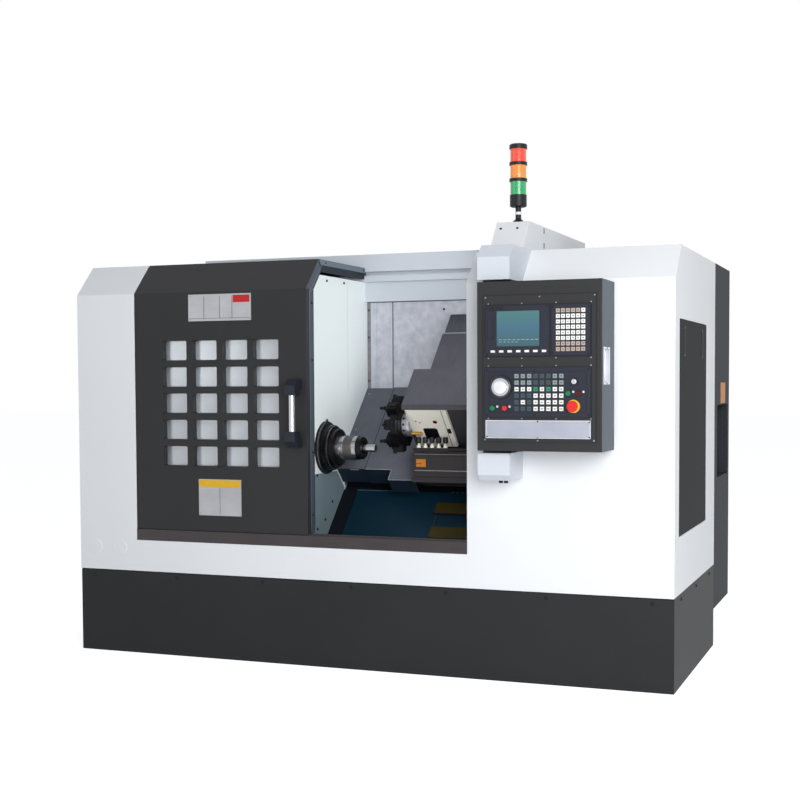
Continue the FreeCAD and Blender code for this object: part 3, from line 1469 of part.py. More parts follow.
def lip_cover(x0, x1, edge_s, top_n, lip_n, rear_s):
    """A sheet along the slope whose front edge is folded square, down and rearwards."""
    sheet = d.cover_sheet
    return slant_outline(x0, x1, [
        (edge_s, lip_n),
        (edge_s, top_n),
        (rear_s, top_n),
        (rear_s, top_n - sheet),
        (edge_s + sheet, top_n - sheet),
        (edge_s + sheet, lip_n),
    ])


LIP_N = d.way_cover_n - d.cover_lip


def fixed_way_cover():
    """Lowest of the three nested covers, fixed to the left chamber wall."""
    below = d.cover_stack * 2
    return node("fixed_way_cover", lip_cover(
        d.chamber_left, d.fixed_cover_right, d.cover_edge_s + below,
        d.way_cover_n - below, LIP_N, d.way_cover_rear_s))


def way_cover_middle():
    below = d.cover_stack
    return node("way_cover_middle", lip_cover(
        d.sliding_cover_left, d.middle_cover_right, d.cover_edge_s + below,
        d.way_cover_n - below, LIP_N, d.way_cover_rear_s))


def sliding_way_cover():
    """Top cover, fixed to the saddle, with its right end stepped down the slope."""
    upper = lip_cover(
        d.sliding_cover_left, d.saddle_left, d.cover_edge_s, d.way_cover_n, LIP_N,
        d.way_cover_rear_s)
    step = lip_cover(
        d.step_left, d.saddle_left, d.step_edge_s, d.way_cover_n,
        d.way_cover_n - d.step_lip, d.bed_s_front)
    return node("sliding_way_cover", union(upper, step))


# ---------------------------------------------------------------- saddle
UNDER_SADDLE = WAY_TOP + d.slide_gap


def saddle():
    """Casting that rides on the box ways, with a raised nose and the nut bore."""
    nose_low_s = (d.saddle_nose_low + d.saddle_nose_y) * SLOPE
    nose_low_n = (d.saddle_nose_low - d.saddle_nose_y) * SLOPE
    nose_high_s = (d.saddle_nose_high + d.saddle_nose_y) * SLOPE
    nose_high_n = (d.saddle_nose_high - d.saddle_nose_y) * SLOPE
    body = slant_outline(d.saddle_left, d.saddle_right, [
        (d.bed_s_front, UNDER_SADDLE),
        (nose_low_s, nose_low_n),
        (nose_high_s, nose_high_n),
        (d.saddle_nose_s, nose_high_n),
        (d.saddle_nose_s, d.saddle_n),
        (d.saddle_rear_s, d.saddle_n),
        (d.saddle_rear_s, UNDER_SADDLE),
    ])
    gib_low = d.bed_n + d.slide_gap
    gap = d.slide_gap
    gibs = [
        slant_block(
            d.saddle_left, d.saddle_right, low, high, gib_low, UNDER_SADDLE + OVERCUT)
        for low, high in (
            (d.front_way_s + d.way_width + gap, d.front_way_s + d.way_width + d.gib_width),
            (d.rear_way_s - d.gib_width, d.rear_way_s - gap))]
    nut = slant_block(
        d.saddle_left + d.nut_inset, d.saddle_right - d.nut_inset,
        d.screw_s - d.screw_post_width / 2, d.screw_s + d.screw_post_width / 2,
        d.screw_n - d.screw_radius * 2, UNDER_SADDLE + OVERCUT)
    bore = rod_x(
        d.saddle_left - OVERCUT, d.saddle_right + OVERCUT, SCREW_Y, SCREW_Z,
        d.screw_radius + d.running_gap)
    return node("saddle", minus(union(body, nut, *gibs), bore))


def apron():
    """Steel front of the saddle, stepped outwards from ledge to ledge."""
    step = d.apron_step
    back = d.saddle_nose_y
    face = d.apron_front + step * 3
    return node("apron", outline_x(d.saddle_left, d.saddle_right, [
        (back, d.apron_bottom),
        (d.apron_front + step, d.apron_bottom),
        (d.apron_front + step, d.ledge_low),
        (d.apron_front, d.ledge_low),
        (d.apron_front, d.ledge_low + step),
        (face - step, d.ledge_low + step),
        (face - step, d.ledge_middle),
        (d.apron_front + step, d.ledge_middle),
        (d.apron_front + step, d.ledge_middle + step),
        (face, d.ledge_middle + step),
        (face, d.ledge_high),
        (face - step, d.ledge_high),
        (face - step, d.ledge_high + step),
        (face + step, d.ledge_high + step),
        (face + step, d.apron_top),
        (back, d.apron_top),
    ]))


def x_cover_fixed():
    """Upper cover on the saddle: a sheet with a cheek at each side and a rear lip."""
    top = d.upper_cover_n - d.upper_stack
    sheet = d.upper_sheet
    left = d.upper_cover_left + d.upper_fixed_inset
    reach = d.back_wall_front - d.cover_gauge * 2
    rear_low_n = d.upper_rear_s - reach / SLOPE
    plate = slant_block(
        left, d.upper_cover_right, d.upper_fixed_s, d.upper_rear_s, top - sheet, top)
    cheek_points = [
        (d.upper_fixed_s, d.saddle_n),
        (reach / SLOPE + d.saddle_n, d.saddle_n),
        (d.upper_rear_s, rear_low_n),
        (d.upper_rear_s, top - sheet),
        (d.upper_fixed_s, top - sheet),
    ]
    left_cheek = slant_outline(left, left + sheet, cheek_points)
    right_cheek = slant_outline(d.saddle_right - sheet, d.saddle_right, cheek_points)
    return node("x_cover_fixed", union(plate, left_cheek, right_cheek))


def x_cover_plate():
    """Telescoping sheet between the hood and the fixed upper cover."""
    return node("x_cover_plate", slant_block(
        d.upper_cover_left, d.upper_cover_right, d.upper_front_s, d.upper_step_s,
        d.upper_cover_n - d.upper_sheet, d.upper_cover_n))


# ---------------------------------------------------------------- cross slide
def cross_slide():
    """Casting under the turret housing, with a chamfered front."""
    low = d.saddle_n + d.slide_gap
    chamfer = d.slide_chamfer
    return node("cross_slide", slant_outline(d.slide_left, d.slide_right, [
        (d.slide_front_s, low),
        (d.slide_front_s, d.housing_low_n - chamfer),
        (d.slide_front_s + chamfer, d.housing_low_n),
        (d.slide_rear_s, d.housing_low_n),
        (d.slide_rear_s, low),
    ]))


HOOD_TOP = d.housing_high_n + d.hood_sheet
HOOD_LIP_OFFSET = d.hood_front_s - HOOD_TOP


def turret_housing():
    """Cream housing with a round bearing neck towards the disc and a socket recess."""
    corner = HOOD_LIP_OFFSET + d.hood_sheet * SLOPE * 2 + d.running_gap
    body = slant_outline(d.housing_left, d.housing_right, [
        (d.housing_front_s, d.housing_low_n),
        (d.housing_front_s, d.housing_front_s - corner),
        (d.housing_high_n + corner, d.housing_high_n),
        (d.housing_rear_s, d.housing_high_n),
        (d.housing_rear_s, d.housing_low_n),
    ])
    neck = rod_x(
        d.disc_left + d.disc_width + d.running_gap, d.housing_left + OVERCUT,
        TURRET_Y, TURRET_Z, d.neck_radius)
    recess = slant_outline(d.recess_left, d.recess_right, [
        (d.housing_front_s - OVERCUT, d.recess_low_n),
        (d.housing_front_s - OVERCUT, d.recess_high_n),
        (d.housing_front_s + d.housing_recess, d.recess_high_n),
        (d.housing_front_s + d.housing_recess, d.recess_low_n),
    ])
    eye_s = d.housing_front_s
    eye = rod(
        d.eye_radius, d.eye_depth + OVERCUT, d.eye_x,
        slant_y(eye_s - OVERCUT, d.eye_n), slant_z(eye_s - OVERCUT, d.eye_n), DOWN_SLOPE)
    return node("turret_housing", minus(union(body, neck), recess, eye))


DOWN_SLOPE = FreeCAD.Rotation(FreeCAD.Vector(1, 0, 0), -SLOPE_ANGLE)


def x_cover_hood():
    """Dark hood with an upright front lip, a rear shelf and a right front apron."""
    sheet = d.hood_sheet
    lip = d.hood_lip * SLOPE
    lip_gauge = sheet * SLOPE
    shelf = d.upper_cover_n + d.hood_shelf_gap
    top_sheet = slant_outline(d.hood_left, d.hood_right, [
        (d.housing_high_n + HOOD_LIP_OFFSET + lip_gauge * 2, d.housing_high_n),
        (d.hood_front_s - lip + lip_gauge, HOOD_TOP - lip - lip_gauge),
        (d.hood_front_s - lip, HOOD_TOP - lip),
        (d.hood_front_s, HOOD_TOP),
        (d.hood_rear_s, HOOD_TOP),
        (d.hood_rear_s, shelf + sheet),
        (d.hood_shelf_s, shelf + sheet),
        (d.hood_shelf_s, shelf),
        (d.hood_rear_s - sheet, shelf),
        (d.hood_rear_s - sheet, d.housing_high_n),
    ])
    front = slant_block(
        d.housing_right, d.hood_right, d.hood_front_s, d.hood_front_s + sheet,
        d.hood_front_low, d.housing_high_n + OVERCUT)
    return node("x_cover_hood", union(top_sheet, front))


def coolant_manifold():
    """Bar in front of the housing with five upright knobs, the brass feed and a hose."""
    face = d.housing_front_s
    strip = d.manifold_arm_gauge
    bar_low = d.knob_foot - d.manifold_height
    bar_right = d.knob_left + d.knob_pitch * (KNOBS - 1) + d.knob_pitch / 2
    parts = [block(
        d.housing_left, bar_right, d.knob_y - d.manifold_depth / 2,
        d.knob_y + d.manifold_depth / 2, bar_low, d.knob_foot)]
    for index in range(KNOBS):
        parts.append(turned_z(d.knob_left + d.knob_pitch * index, d.knob_y, [
            (0, bar_low),
            (d.knob_neck, bar_low),
            (d.knob_neck, d.knob_foot),
            (d.knob_radius, d.knob_foot),
            (d.knob_radius, d.knob_foot + d.knob_flange),
            (d.knob_neck, d.knob_foot + d.knob_flange),
            (d.knob_neck, d.knob_top - d.knob_head),
            (d.knob_radius, d.knob_top - d.knob_head),
            (d.knob_radius, d.knob_top),
            (0, d.knob_top),
        ]))
    half = d.manifold_arm_width / 2
    arms = (
        (d.housing_left + half, d.pipe_n),
        (d.knob_left + d.knob_pitch, d.manifold_tab_n),
        (d.knob_left + d.knob_pitch * 3, d.manifold_tab_n))
    for x, high_n in arms:
        parts.append(block(
            x - half, x + half, d.knob_y, d.manifold_arm_rear, d.knob_foot - strip, d.knob_foot))
        parts.append(slant_block(
            x - half, x + half, face - d.manifold_tab_gauge, face,
            d.housing_low_n - d.manifold_tab_drop, high_n))
    pipe_s = face - d.manifold_tab_gauge
    parts.append(rod_x(
        d.pipe_left, d.knob_left + d.pipe_length, slant_y(pipe_s, d.pipe_n),
        slant_z(pipe_s, d.pipe_n), d.pipe_radius))
    parts.append(rod_x(
        bar_right - half, d.hood_right, d.knob_y, d.knob_foot - d.manifold_height / 2,
        d.hose_radius))
    return node("coolant_manifold", union(*parts))


KNOBS = 5


# ---------------------------------------------------------------- turret
TURRET_FACES = 8


def turret_disc():
    """Eight-sided disc with a turned boss and the bright hub on its face."""
    points = []
    corner_radius = d.disc_radius / math.cos(math.pi / TURRET_FACES)
    for index in range(TURRET_FACES):
        angle = 2 * math.pi * (index + 0.5) / TURRET_FACES
        points.append((
            TURRET_Y + corner_radius * math.cos(angle),
            TURRET_Z + corner_radius * math.sin(angle)))
    disc = outline_x(d.disc_left, d.disc_left + d.disc_width, points)
    boss = rod_x(
        d.disc_left - d.boss_height, d.disc_left + OVERCUT, TURRET_Y, TURRET_Z,
        d.disc_radius / 2)
    hub = rod_x(
        d.disc_left - d.boss_height - d.hub_length, d.disc_left, TURRET_Y, TURRET_Z,
        d.hub_radius)
    return node("turret_disc", union(disc, boss, hub))


def tool_holders():
    """Square tool blocks on every flat, each clamping a tool; alternate ones hold a bar."""
    right = d.disc_left + d.holder_length
    left = d.disc_left - d.holder_overhang
    parts = []
    for index in range(TURRET_FACES):
        angle = 2 * HALF_TURN * index / TURRET_FACES
        half = d.holder_width / 2
        shank = spoke_block(
            d.disc_left, right, TURRET_Y, TURRET_Z, half, d.disc_radius,
            d.holder_reach - d.tool_proud, angle)
        cheek = spoke_block(
            left, d.disc_left, TURRET_Y, TURRET_Z, half * 4 / 5,
            d.disc_radius - d.tool_side * 2, d.holder_reach - d.tool_proud * 2, angle)
        parts.extend([shank, cheek])
        if index % 2 == 0:
            parts.append(spoke_block(
                d.disc_left + d.tool_side / 2, d.disc_left + d.tool_side * 3 / 2,
                TURRET_Y, TURRET_Z, d.tool_side / 2, d.disc_radius, d.holder_reach, angle))
        else:
            middle = d.holder_reach - d.tool_proud * 3
            radians = math.radians(angle)
            parts.append(rod_x(
                left - d.boring_reach, left + OVERCUT,
                TURRET_Y - middle * math.sin(radians),
                TURRET_Z + middle * math.cos(radians), d.tool_side / 2))
    return node("tool_holders", union(*parts))


# ---------------------------------------------------------------- control box
PLATE_FACE = d.box_front - d.plate_gauge
STOP_STEM = d.stop_radius / 2
BUTTON_STEM = d.button_radius * 2 / 3


def control_box():
    """Folded box with eased upright edges, pivot plates and a recessed pull."""
    def outer_edge(edge):
        if not edge_runs(edge, 2):
            return False
        return edge.Vertexes[0].Point.y < body.Placement.Base.y + OVERCUT

    body = block(
        d.box_left, d.box_right, d.box_front, d.box_rear, d.box_bottom, d.box_top)
    eased = rounded(body, d.box_corner, outer_edge)
    plates = []
    for low, high in (
            (d.box_top - OVERCUT, d.upper_mount_bottom - d.running_gap),
            (d.lower_mount_top + d.running_gap, d.box_bottom + OVERCUT)):
        plates.append(rod_z(low, high, d.pivot_x, d.pivot_y, d.pivot_radius))
        plates.append(block(
            d.box_left, d.pivot_x, d.pivot_y - d.pivot_radius,
            d.pivot_y + d.pivot_radius, low, high))
    pull = block(
        d.box_right - d.pull_depth, d.box_right + OVERCUT,
        d.pull_front, d.pull_rear, d.pull_low, d.pull_high)
    return node("control_box", minus(union(eased, *plates), pull))


def control_panel():
    """Inner plate with the display bezel, the operator panel and the blank plate."""
    gauge = d.bezel_gauge
    plate = block(
        d.plate_left, d.plate_right, PLATE_FACE, d.box_front,
        d.plate_bottom, d.plate_top)
    panels = []
    for low, high in (
            (d.display_bottom, d.display_top),
            (d.operator_bottom, d.operator_top)):
        panels.append(block(
            d.bezel_left, d.bezel_right, FRONT_FACE, PLATE_FACE + OVERCUT, low, high))
    panels.append(block(
        d.bezel_left, d.bezel_right, PLATE_FACE - gauge / 3, PLATE_FACE + OVERCUT,
        d.blank_bottom, d.blank_top))
    sunk = [
        block(
            d.screen_left, d.screen_right, FRONT_FACE - OVERCUT,
            FRONT_FACE + d.screen_gauge * 2, d.screen_bottom, d.screen_top),
        block(
            d.keypad_seam, d.keypad_seam + d.seam_width, FRONT_FACE - OVERCUT,
            FRONT_FACE + gauge / 2, d.display_bottom - OVERCUT, d.display_top + OVERCUT)]
    well_end = FRONT_FACE + d.stem_depth + d.button_travel + d.running_gap
    wells = [rod_y(
        FRONT_FACE - OVERCUT, well_end, d.stop_x, d.stop_z, STOP_STEM + d.running_gap)]
    for x, z in (
            (d.power_on_x, d.power_z), (d.power_off_x, d.power_z),
            (d.start_x, d.cycle_z), (d.hold_x, d.cycle_z)):
        wells.append(rod_y(
            FRONT_FACE - OVERCUT, well_end, x, z, BUTTON_STEM + d.running_gap))
    return node("control_panel", minus(union(plate, *panels), *sunk, *wells))


def screen():
    return node("screen", block(
        d.screen_left, d.screen_right, FRONT_FACE + d.screen_gauge,
        FRONT_FACE + d.screen_gauge * 2, d.screen_bottom, d.screen_top))


def key_grid(left, top, pitch_x, pitch_z, side, columns, rows):
    keys = []
    for column in range(columns):
        for row in range(rows):
            x = left + pitch_x * column
            z = top - side - pitch_z * row
            keys.append(block(
                x, x + side, FRONT_FACE - d.key_travel_height, FRONT_FACE, z, z + side))
    return keys


DATA_COLUMNS = 6
DATA_ROWS = 8
MACHINE_COLUMNS = 8
MACHINE_ROWS = 6
SOFT_KEYS = 7


def key_caps():
    """Data keys, soft keys and machine keys, each a flat cap on its bezel."""
    keys = key_grid(
        d.data_key_left, d.data_key_top, d.data_key_pitch_x, d.data_key_pitch_z,
        d.data_key_side, DATA_COLUMNS, DATA_ROWS)
    keys += key_grid(
        d.machine_key_left, d.machine_key_top, d.machine_key_pitch_x,
        d.machine_key_pitch_z, d.machine_key_side, MACHINE_COLUMNS, MACHINE_ROWS)
    for index in range(SOFT_KEYS):
        x = d.soft_key_left + d.soft_key_pitch * index
        keys.append(block(
            x, x + d.soft_key_width, FRONT_FACE - d.key_travel_height, FRONT_FACE,
            d.soft_key_bottom, d.soft_key_bottom + d.soft_key_height))
    return node("key_caps", group(*keys))


def emergency_stop():
    """Mushroom head on a stem that runs in its well, off the panel by its stroke."""
    face = FRONT_FACE - d.button_travel - d.running_gap
    tip = FRONT_FACE - d.stop_height
    return node("emergency_stop", turned_y(d.stop_x, d.stop_z, [
        (0, tip),
        (d.stop_radius - d.ring_bevel, tip),
        (d.stop_radius, tip + d.ring_bevel),
        (d.stop_radius, tip + d.ring_bevel * 3),
        (STOP_STEM, face - d.button_travel),
        (STOP_STEM, FRONT_FACE + d.stem_depth),
        (0, FRONT_FACE + d.stem_depth),
    ]))


def push_button(name, x, z):
    """Round cap that stands off the panel by its stroke, on a stem in its well."""
    tip = FRONT_FACE - d.button_height - d.button_travel
    shoulder = FRONT_FACE - d.running_gap - d.button_travel
    return node(name, turned_y(x, z, [
        (0, tip),
        (d.button_radius - d.screen_gauge, tip),
        (d.button_radius, tip + d.screen_gauge),
        (d.button_radius, shoulder),
        (BUTTON_STEM, shoulder),
        (BUTTON_STEM, FRONT_FACE + d.stem_depth),
        (0, FRONT_FACE + d.stem_depth),
    ]))


def handwheel():
    """Jog wheel with a raised middle and a small crank knob on its rim."""
    back = FRONT_FACE - d.running_gap
    rim = FRONT_FACE - d.wheel_height * 2 / 3
    tip = FRONT_FACE - d.wheel_height
    disc = turned_y(d.wheel_x, d.wheel_z, [
        (0, tip),
        (d.wheel_radius * 3 / 5, tip),
        (d.wheel_radius * 3 / 5, rim + d.ring_lip),
        (d.wheel_radius - d.ring_bevel, rim + d.ring_lip),
        (d.wheel_radius - d.ring_bevel, rim),
        (d.wheel_radius, rim),
        (d.wheel_radius, back),
        (0, back),
    ])
    knob = rod_y(
        tip - d.ring_bevel, rim + d.ring_bevel, d.wheel_x + d.wheel_radius * 3 / 4,
        d.wheel_z, d.ring_bevel)
    return node("handwheel", union(disc, knob))


def key_switch():
    """Round lock with a flat key bow."""
    back = FRONT_FACE - d.running_gap
    barrel = rod_y(back - d.button_height, back, d.lock_x, d.lock_z, d.button_radius)
    bow = block(
        d.lock_x - d.ring_lip / 2, d.lock_x + d.ring_lip / 2,
        back - d.button_height * 2, back - d.button_height + OVERCUT,
        d.lock_z - d.button_radius, d.lock_z + d.button_radius)
    return node("key_switch", union(barrel, bow))


# ---------------------------------------------------------------- build and write
def build_all():
    base_frame()
    front_cover()
    right_cover()
    side_panel()
    door_sill()
    top_beam()
    rear_roof_cover()
    headstock_guard()
    chamber_left_wall()
    chamber_back_wall()
    chip_pan()
    electrical_cabinet()
    cabinet_door()
    main_switch()
    tower_housing()
    lamp_body()
    lamp_lenses()
    pivot_brackets()
    door_shell()
    window_pane()
    handle_bar()
    handle_brackets()
    headstock_casting()
    spindle_bearings()
    spindle_cover_ring()
    spindle_shaft()
    chuck_adaptor()
    collet_chuck()
    bar_stock()
    spindle_pulley()
    motor_pulley()
    spindle_motor()
    drive_belt()
    bed_casting()
    z_screw()
    z_servo_motor()
    fixed_way_cover()
    way_cover_middle()
    sliding_way_cover()
    saddle()
    apron()
    x_cover_fixed()
    x_cover_plate()
    cross_slide()
    turret_housing()
    x_cover_hood()
    coolant_manifold()
    turret_disc()
    tool_holders()
    control_box()
    control_panel()
    screen()
    key_caps()
    emergency_stop()
    push_button("power_on_button", d.power_on_x, d.power_z)
    push_button("power_off_button", d.power_off_x, d.power_z)
    push_button("cycle_start_button", d.start_x, d.cycle_z)
    push_button("feed_hold_button", d.hold_x, d.cycle_z)
    handwheel()
    key_switch()


def check_all():
    for piece in document.Objects:
        if "Invalid" in piece.State or "Error" in piece.State:
            raise RuntimeError("%s (%s) did not build" % (piece.Label, piece.Name))
    for piece in nodes:
        if piece.Shape.isNull() or not piece.Shape.isValid() or not piece.Shape.Solids:
            raise RuntimeError("%s has no sound solid" % piece.Label)


def write_all():
    os.makedirs("parts", exist_ok=True)
    for piece in nodes:
        piece.Shape.exportStep("parts/%s.step" % piece.Label)


build_all()
document.recompute()
check_all()
write_all()
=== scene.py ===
import math

import bmesh
import bpy
from mathutils import Matrix, Vector


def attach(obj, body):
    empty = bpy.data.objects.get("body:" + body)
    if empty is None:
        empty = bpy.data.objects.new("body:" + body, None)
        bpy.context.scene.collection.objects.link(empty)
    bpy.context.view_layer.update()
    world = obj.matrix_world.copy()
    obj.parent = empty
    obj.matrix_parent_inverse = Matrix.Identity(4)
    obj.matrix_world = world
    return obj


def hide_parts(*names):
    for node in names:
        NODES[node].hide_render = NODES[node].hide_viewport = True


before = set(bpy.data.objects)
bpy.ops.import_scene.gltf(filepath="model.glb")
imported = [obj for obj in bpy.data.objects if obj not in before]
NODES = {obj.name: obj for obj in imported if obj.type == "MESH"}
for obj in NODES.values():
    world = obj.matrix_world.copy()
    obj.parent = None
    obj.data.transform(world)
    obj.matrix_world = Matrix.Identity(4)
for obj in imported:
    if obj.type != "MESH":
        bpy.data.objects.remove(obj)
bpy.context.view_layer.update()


# ---------------------------------------------------------------- places
def at(x, y, z):
    """A point given in mm from the enclosure's lower left front corner."""
    return Vector(((x - 1280) / 1000, (y - 590) / 1000, z / 1000))


def mm(point):
    return (point[0] * 1000 + 1280, point[1] * 1000 + 590, point[2] * 1000)


ROOT_HALF = math.sqrt(0.5)
SPINDLE_Y, SPINDLE_Z = 213.2, 877.2
TURRET_S, TURRET_N = 884, 495
TURRET_Y, TURRET_Z = (TURRET_S - TURRET_N) * ROOT_HALF, (TURRET_S + TURRET_N) * ROOT_HALF


def on_slope(x, s, n):
    """A point in the bed's coordinates: s up the slope, n off it, in mm."""
    return at(x, (s - n) * ROOT_HALF, (s + n) * ROOT_HALF)


# ---------------------------------------------------------------- materials
def new_material(name):
    m = bpy.data.materials.new(name)
    m.use_nodes = True
    nt = m.node_tree
    nt.nodes.clear()
    out = nt.nodes.new("ShaderNodeOutputMaterial")
    bsdf = nt.nodes.new("ShaderNodeBsdfPrincipled")
    nt.links.new(bsdf.outputs["BSDF"], out.inputs["Surface"])
    return m, nt, bsdf


def linear(c):
    return tuple((v / 12.92 if v <= 0.04045 else ((v + 0.055) / 1.055) ** 2.4) for v in c)


def rgb(r, g, b):
    return linear((r / 255, g / 255, b / 255))


def texture(nt, kind, scale, detail=4.0, stretch=None):
    coords = nt.nodes.new("ShaderNodeTexCoord")
    source = coords.outputs["Object"]
    if stretch:
        mapping = nt.nodes.new("ShaderNodeMapping")
        mapping.inputs["Scale"].default_value = stretch
        nt.links.new(source, mapping.inputs["Vector"])
        source = mapping.outputs["Vector"]
    node = nt.nodes.new(kind)
    node.inputs["Scale"].default_value = scale
    if "Detail" in node.inputs:
        node.inputs["Detail"].default_value = detail
    nt.links.new(source, node.inputs["Vector"])
    return node


def out_of(node):
    for name in ("Fac", "Factor", "Distance"):
        if name in node.outputs:
            return node.outputs[name]
    return node.outputs[0]


def ramp(nt, source, stops):
    r = nt.nodes.new("ShaderNodeValToRGB")
    els = r.color_ramp.elements
    while len(els) < len(stops):
        els.new(0.5)
    for el, (pos, col) in zip(els, stops):
        el.position = pos
        el.color = (*col, 1.0)
    nt.links.new(source, r.inputs["Fac"])
    return r.outputs["Color"]


def to_range(nt, source, lo, hi):
    r = nt.nodes.new("ShaderNodeMapRange")
    r.inputs["To Min"].default_value = lo
    r.inputs["To Max"].default_value = hi
    nt.links.new(source, r.inputs["Value"])
    return r.outputs["Result"]


def bump(nt, bsdf, source, strength, distance=0.001):
    b = nt.nodes.new("ShaderNodeBump")
    b.inputs["Strength"].default_value = strength
    b.inputs["Distance"].default_value = distance
    nt.links.new(source, b.inputs["Height"])
    nt.links.new(b.outputs["Normal"], bsdf.inputs["Normal"])


def shade(col, k):
    return tuple(max(0.0, min(1.0, c * k)) for c in col)


def paint(name, col, rough=0.35, peel=0.12, peel_scale=900, drift=0.05, coat=0.0, metal=0.0, spec=0.35):
    """Sprayed paint: a slow drift of tone, uneven gloss and a fine orange peel."""
    m, nt, bsdf = new_material(name)
    cloud = texture(nt, "ShaderNodeTexNoise", 2.6, 6)
    tone = ramp(nt, out_of(cloud), [(0.3, shade(col, 1 - drift)), (0.72, shade(col, 1 + drift))])
    nt.links.new(tone, bsdf.inputs["Base Color"])
    gloss = texture(nt, "ShaderNodeTexNoise", 34, 5)
    nt.links.new(to_range(nt, out_of(gloss), rough - 0.05, rough + 0.08), bsdf.inputs["Roughness"])
    fine = texture(nt, "ShaderNodeTexNoise", peel_scale, 3)
    bump(nt, bsdf, out_of(fine), peel, 0.0004)
    bsdf.inputs["Metallic"].default_value = metal
    bsdf.inputs["Specular IOR Level"].default_value = spec
    if coat:
        bsdf.inputs["Coat Weight"].default_value = coat
        bsdf.inputs["Coat Roughness"].default_value = 0.12
    return m


def powder(name, col, rough=0.55, drift=0.05, spec=0.2):
    """Textured powder coat: a fine leather-like grain that breaks up the shine."""
    m, nt, bsdf = new_material(name)
    cloud = texture(nt, "ShaderNodeTexNoise", 3.4, 7)
    tone = ramp(nt, out_of(cloud), [(0.3, shade(col, 1 - drift)), (0.7, shade(col, 1 + drift))])
    grain = texture(nt, "ShaderNodeTexNoise", 620, 2)
    mix = nt.nodes.new("ShaderNodeMix")
    mix.data_type = "RGBA"
    mix.blend_type = "MULTIPLY"
    mix.inputs[0].default_value = 0.22
    nt.links.new(tone, mix.inputs[6])
    nt.links.new(ramp(nt, out_of(grain), [(0.35, (0.72, 0.72, 0.72)), (0.65, (1, 1, 1))]), mix.inputs[7])
    nt.links.new(mix.outputs[2], bsdf.inputs["Base Color"])
    nt.links.new(to_range(nt, out_of(grain), rough - 0.06, rough + 0.1), bsdf.inputs["Roughness"])
    bump(nt, bsdf, out_of(grain), 0.16, 0.0005)
    bsdf.inputs["Specular IOR Level"].default_value = spec
    return m


def brushed(name, col, rough=0.35, stretch=(2, 160, 160), metal=0.9, drift=0.18, strength=0.12, spec=0.4):
    """Metal with drawn lines along one axis and faint stains."""
    m, nt, bsdf = new_material(name)
    lines = texture(nt, "ShaderNodeTexNoise", 6, 6, stretch)
    stain = texture(nt, "ShaderNodeTexNoise", 9, 6)
    tone = ramp(nt, out_of(lines), [(0.32, shade(col, 1 - drift)), (0.68, shade(col, 1 + drift))])
    mix = nt.nodes.new("ShaderNodeMix")
    mix.data_type = "RGBA"
    mix.blend_type = "MULTIPLY"
    mix.inputs[0].default_value = 0.55
    nt.links.new(tone, mix.inputs[6])
    nt.links.new(ramp(nt, out_of(stain), [(0.35, (0.78, 0.78, 0.8)), (0.62, (1, 1, 1))]), mix.inputs[7])
    nt.links.new(mix.outputs[2], bsdf.inputs["Base Color"])
    bsdf.inputs["Metallic"].default_value = metal
    nt.links.new(to_range(nt, out_of(lines), rough - 0.08, rough + 0.12), bsdf.inputs["Roughness"])
    bump(nt, bsdf, out_of(lines), strength, 0.0004)
    bsdf.inputs["Specular IOR Level"].default_value = spec
    return m


def mottled(name, lo, hi, scale=26, rough=0.5, metal=0.35):
    """Bare sheet with a spangled, smoky surface."""
    m, nt, bsdf = new_material(name)
    spots = texture(nt, "ShaderNodeTexNoise", scale, 10)
    cloud = texture(nt, "ShaderNodeTexNoise", 5, 4)
    mix = nt.nodes.new("ShaderNodeMix")
    mix.data_type = "FLOAT"
    mix.inputs[0].default_value = 0.45
    nt.links.new(out_of(spots), mix.inputs[2])
    nt.links.new(out_of(cloud), mix.inputs[3])
    nt.links.new(ramp(nt, mix.outputs[0], [(0.36, lo), (0.64, hi)]), bsdf.inputs["Base Color"])
    bsdf.inputs["Metallic"].default_value = metal
    nt.links.new(to_range(nt, out_of(spots), rough - 0.1, rough + 0.12), bsdf.inputs["Roughness"])
    bump(nt, bsdf, out_of(spots), 0.05, 0.0006)
    return m


def plastic(name, col, rough=0.4, grain=0.08, scale=1400, drift=0.04, glow=0.0):
    m, nt, bsdf = new_material(name)
    cloud = texture(nt, "ShaderNodeTexNoise", 40, 4)
    tone = ramp(nt, out_of(cloud), [(0.3, shade(col, 1 - drift)), (0.7, shade(col, 1 + drift))])
    nt.links.new(tone, bsdf.inputs["Base Color"])
    fine = texture(nt, "ShaderNodeTexNoise", scale, 2)
    nt.links.new(to_range(nt, out_of(fine), rough - 0.05, rough + 0.06), bsdf.inputs["Roughness"])
    bump(nt, bsdf, out_of(fine), grain, 0.0002)
    bsdf.inputs["Specular IOR Level"].default_value = 0.3
    if glow:
        bsdf.inputs["Emission Color"].default_value = (*col, 1)
        bsdf.inputs["Emission Strength"].default_value = glow
    return m


def lens(name, col, glow=0.25):
    """Ribbed drum of tinted plastic: fine upright flutes under a gloss skin."""
    m, nt, bsdf = new_material(name)
    flutes = texture(nt, "ShaderNodeTexNoise", 8, 2, (90, 90, 4))
    tone = ramp(nt, out_of(flutes), [(0.3, shade(col, 0.8)), (0.7, shade(col, 1.15))])
    nt.links.new(tone, bsdf.inputs["Base Color"])
    bsdf.inputs["Roughness"].default_value = 0.16
    bsdf.inputs["Coat Weight"].default_value = 0.6
    bsdf.inputs["Coat Roughness"].default_value = 0.06
    bsdf.inputs["Emission Color"].default_value = (*col, 1)
    bsdf.inputs["Emission Strength"].default_value = glow
    bump(nt, bsdf, out_of(flutes), 0.35, 0.0012)
    return m


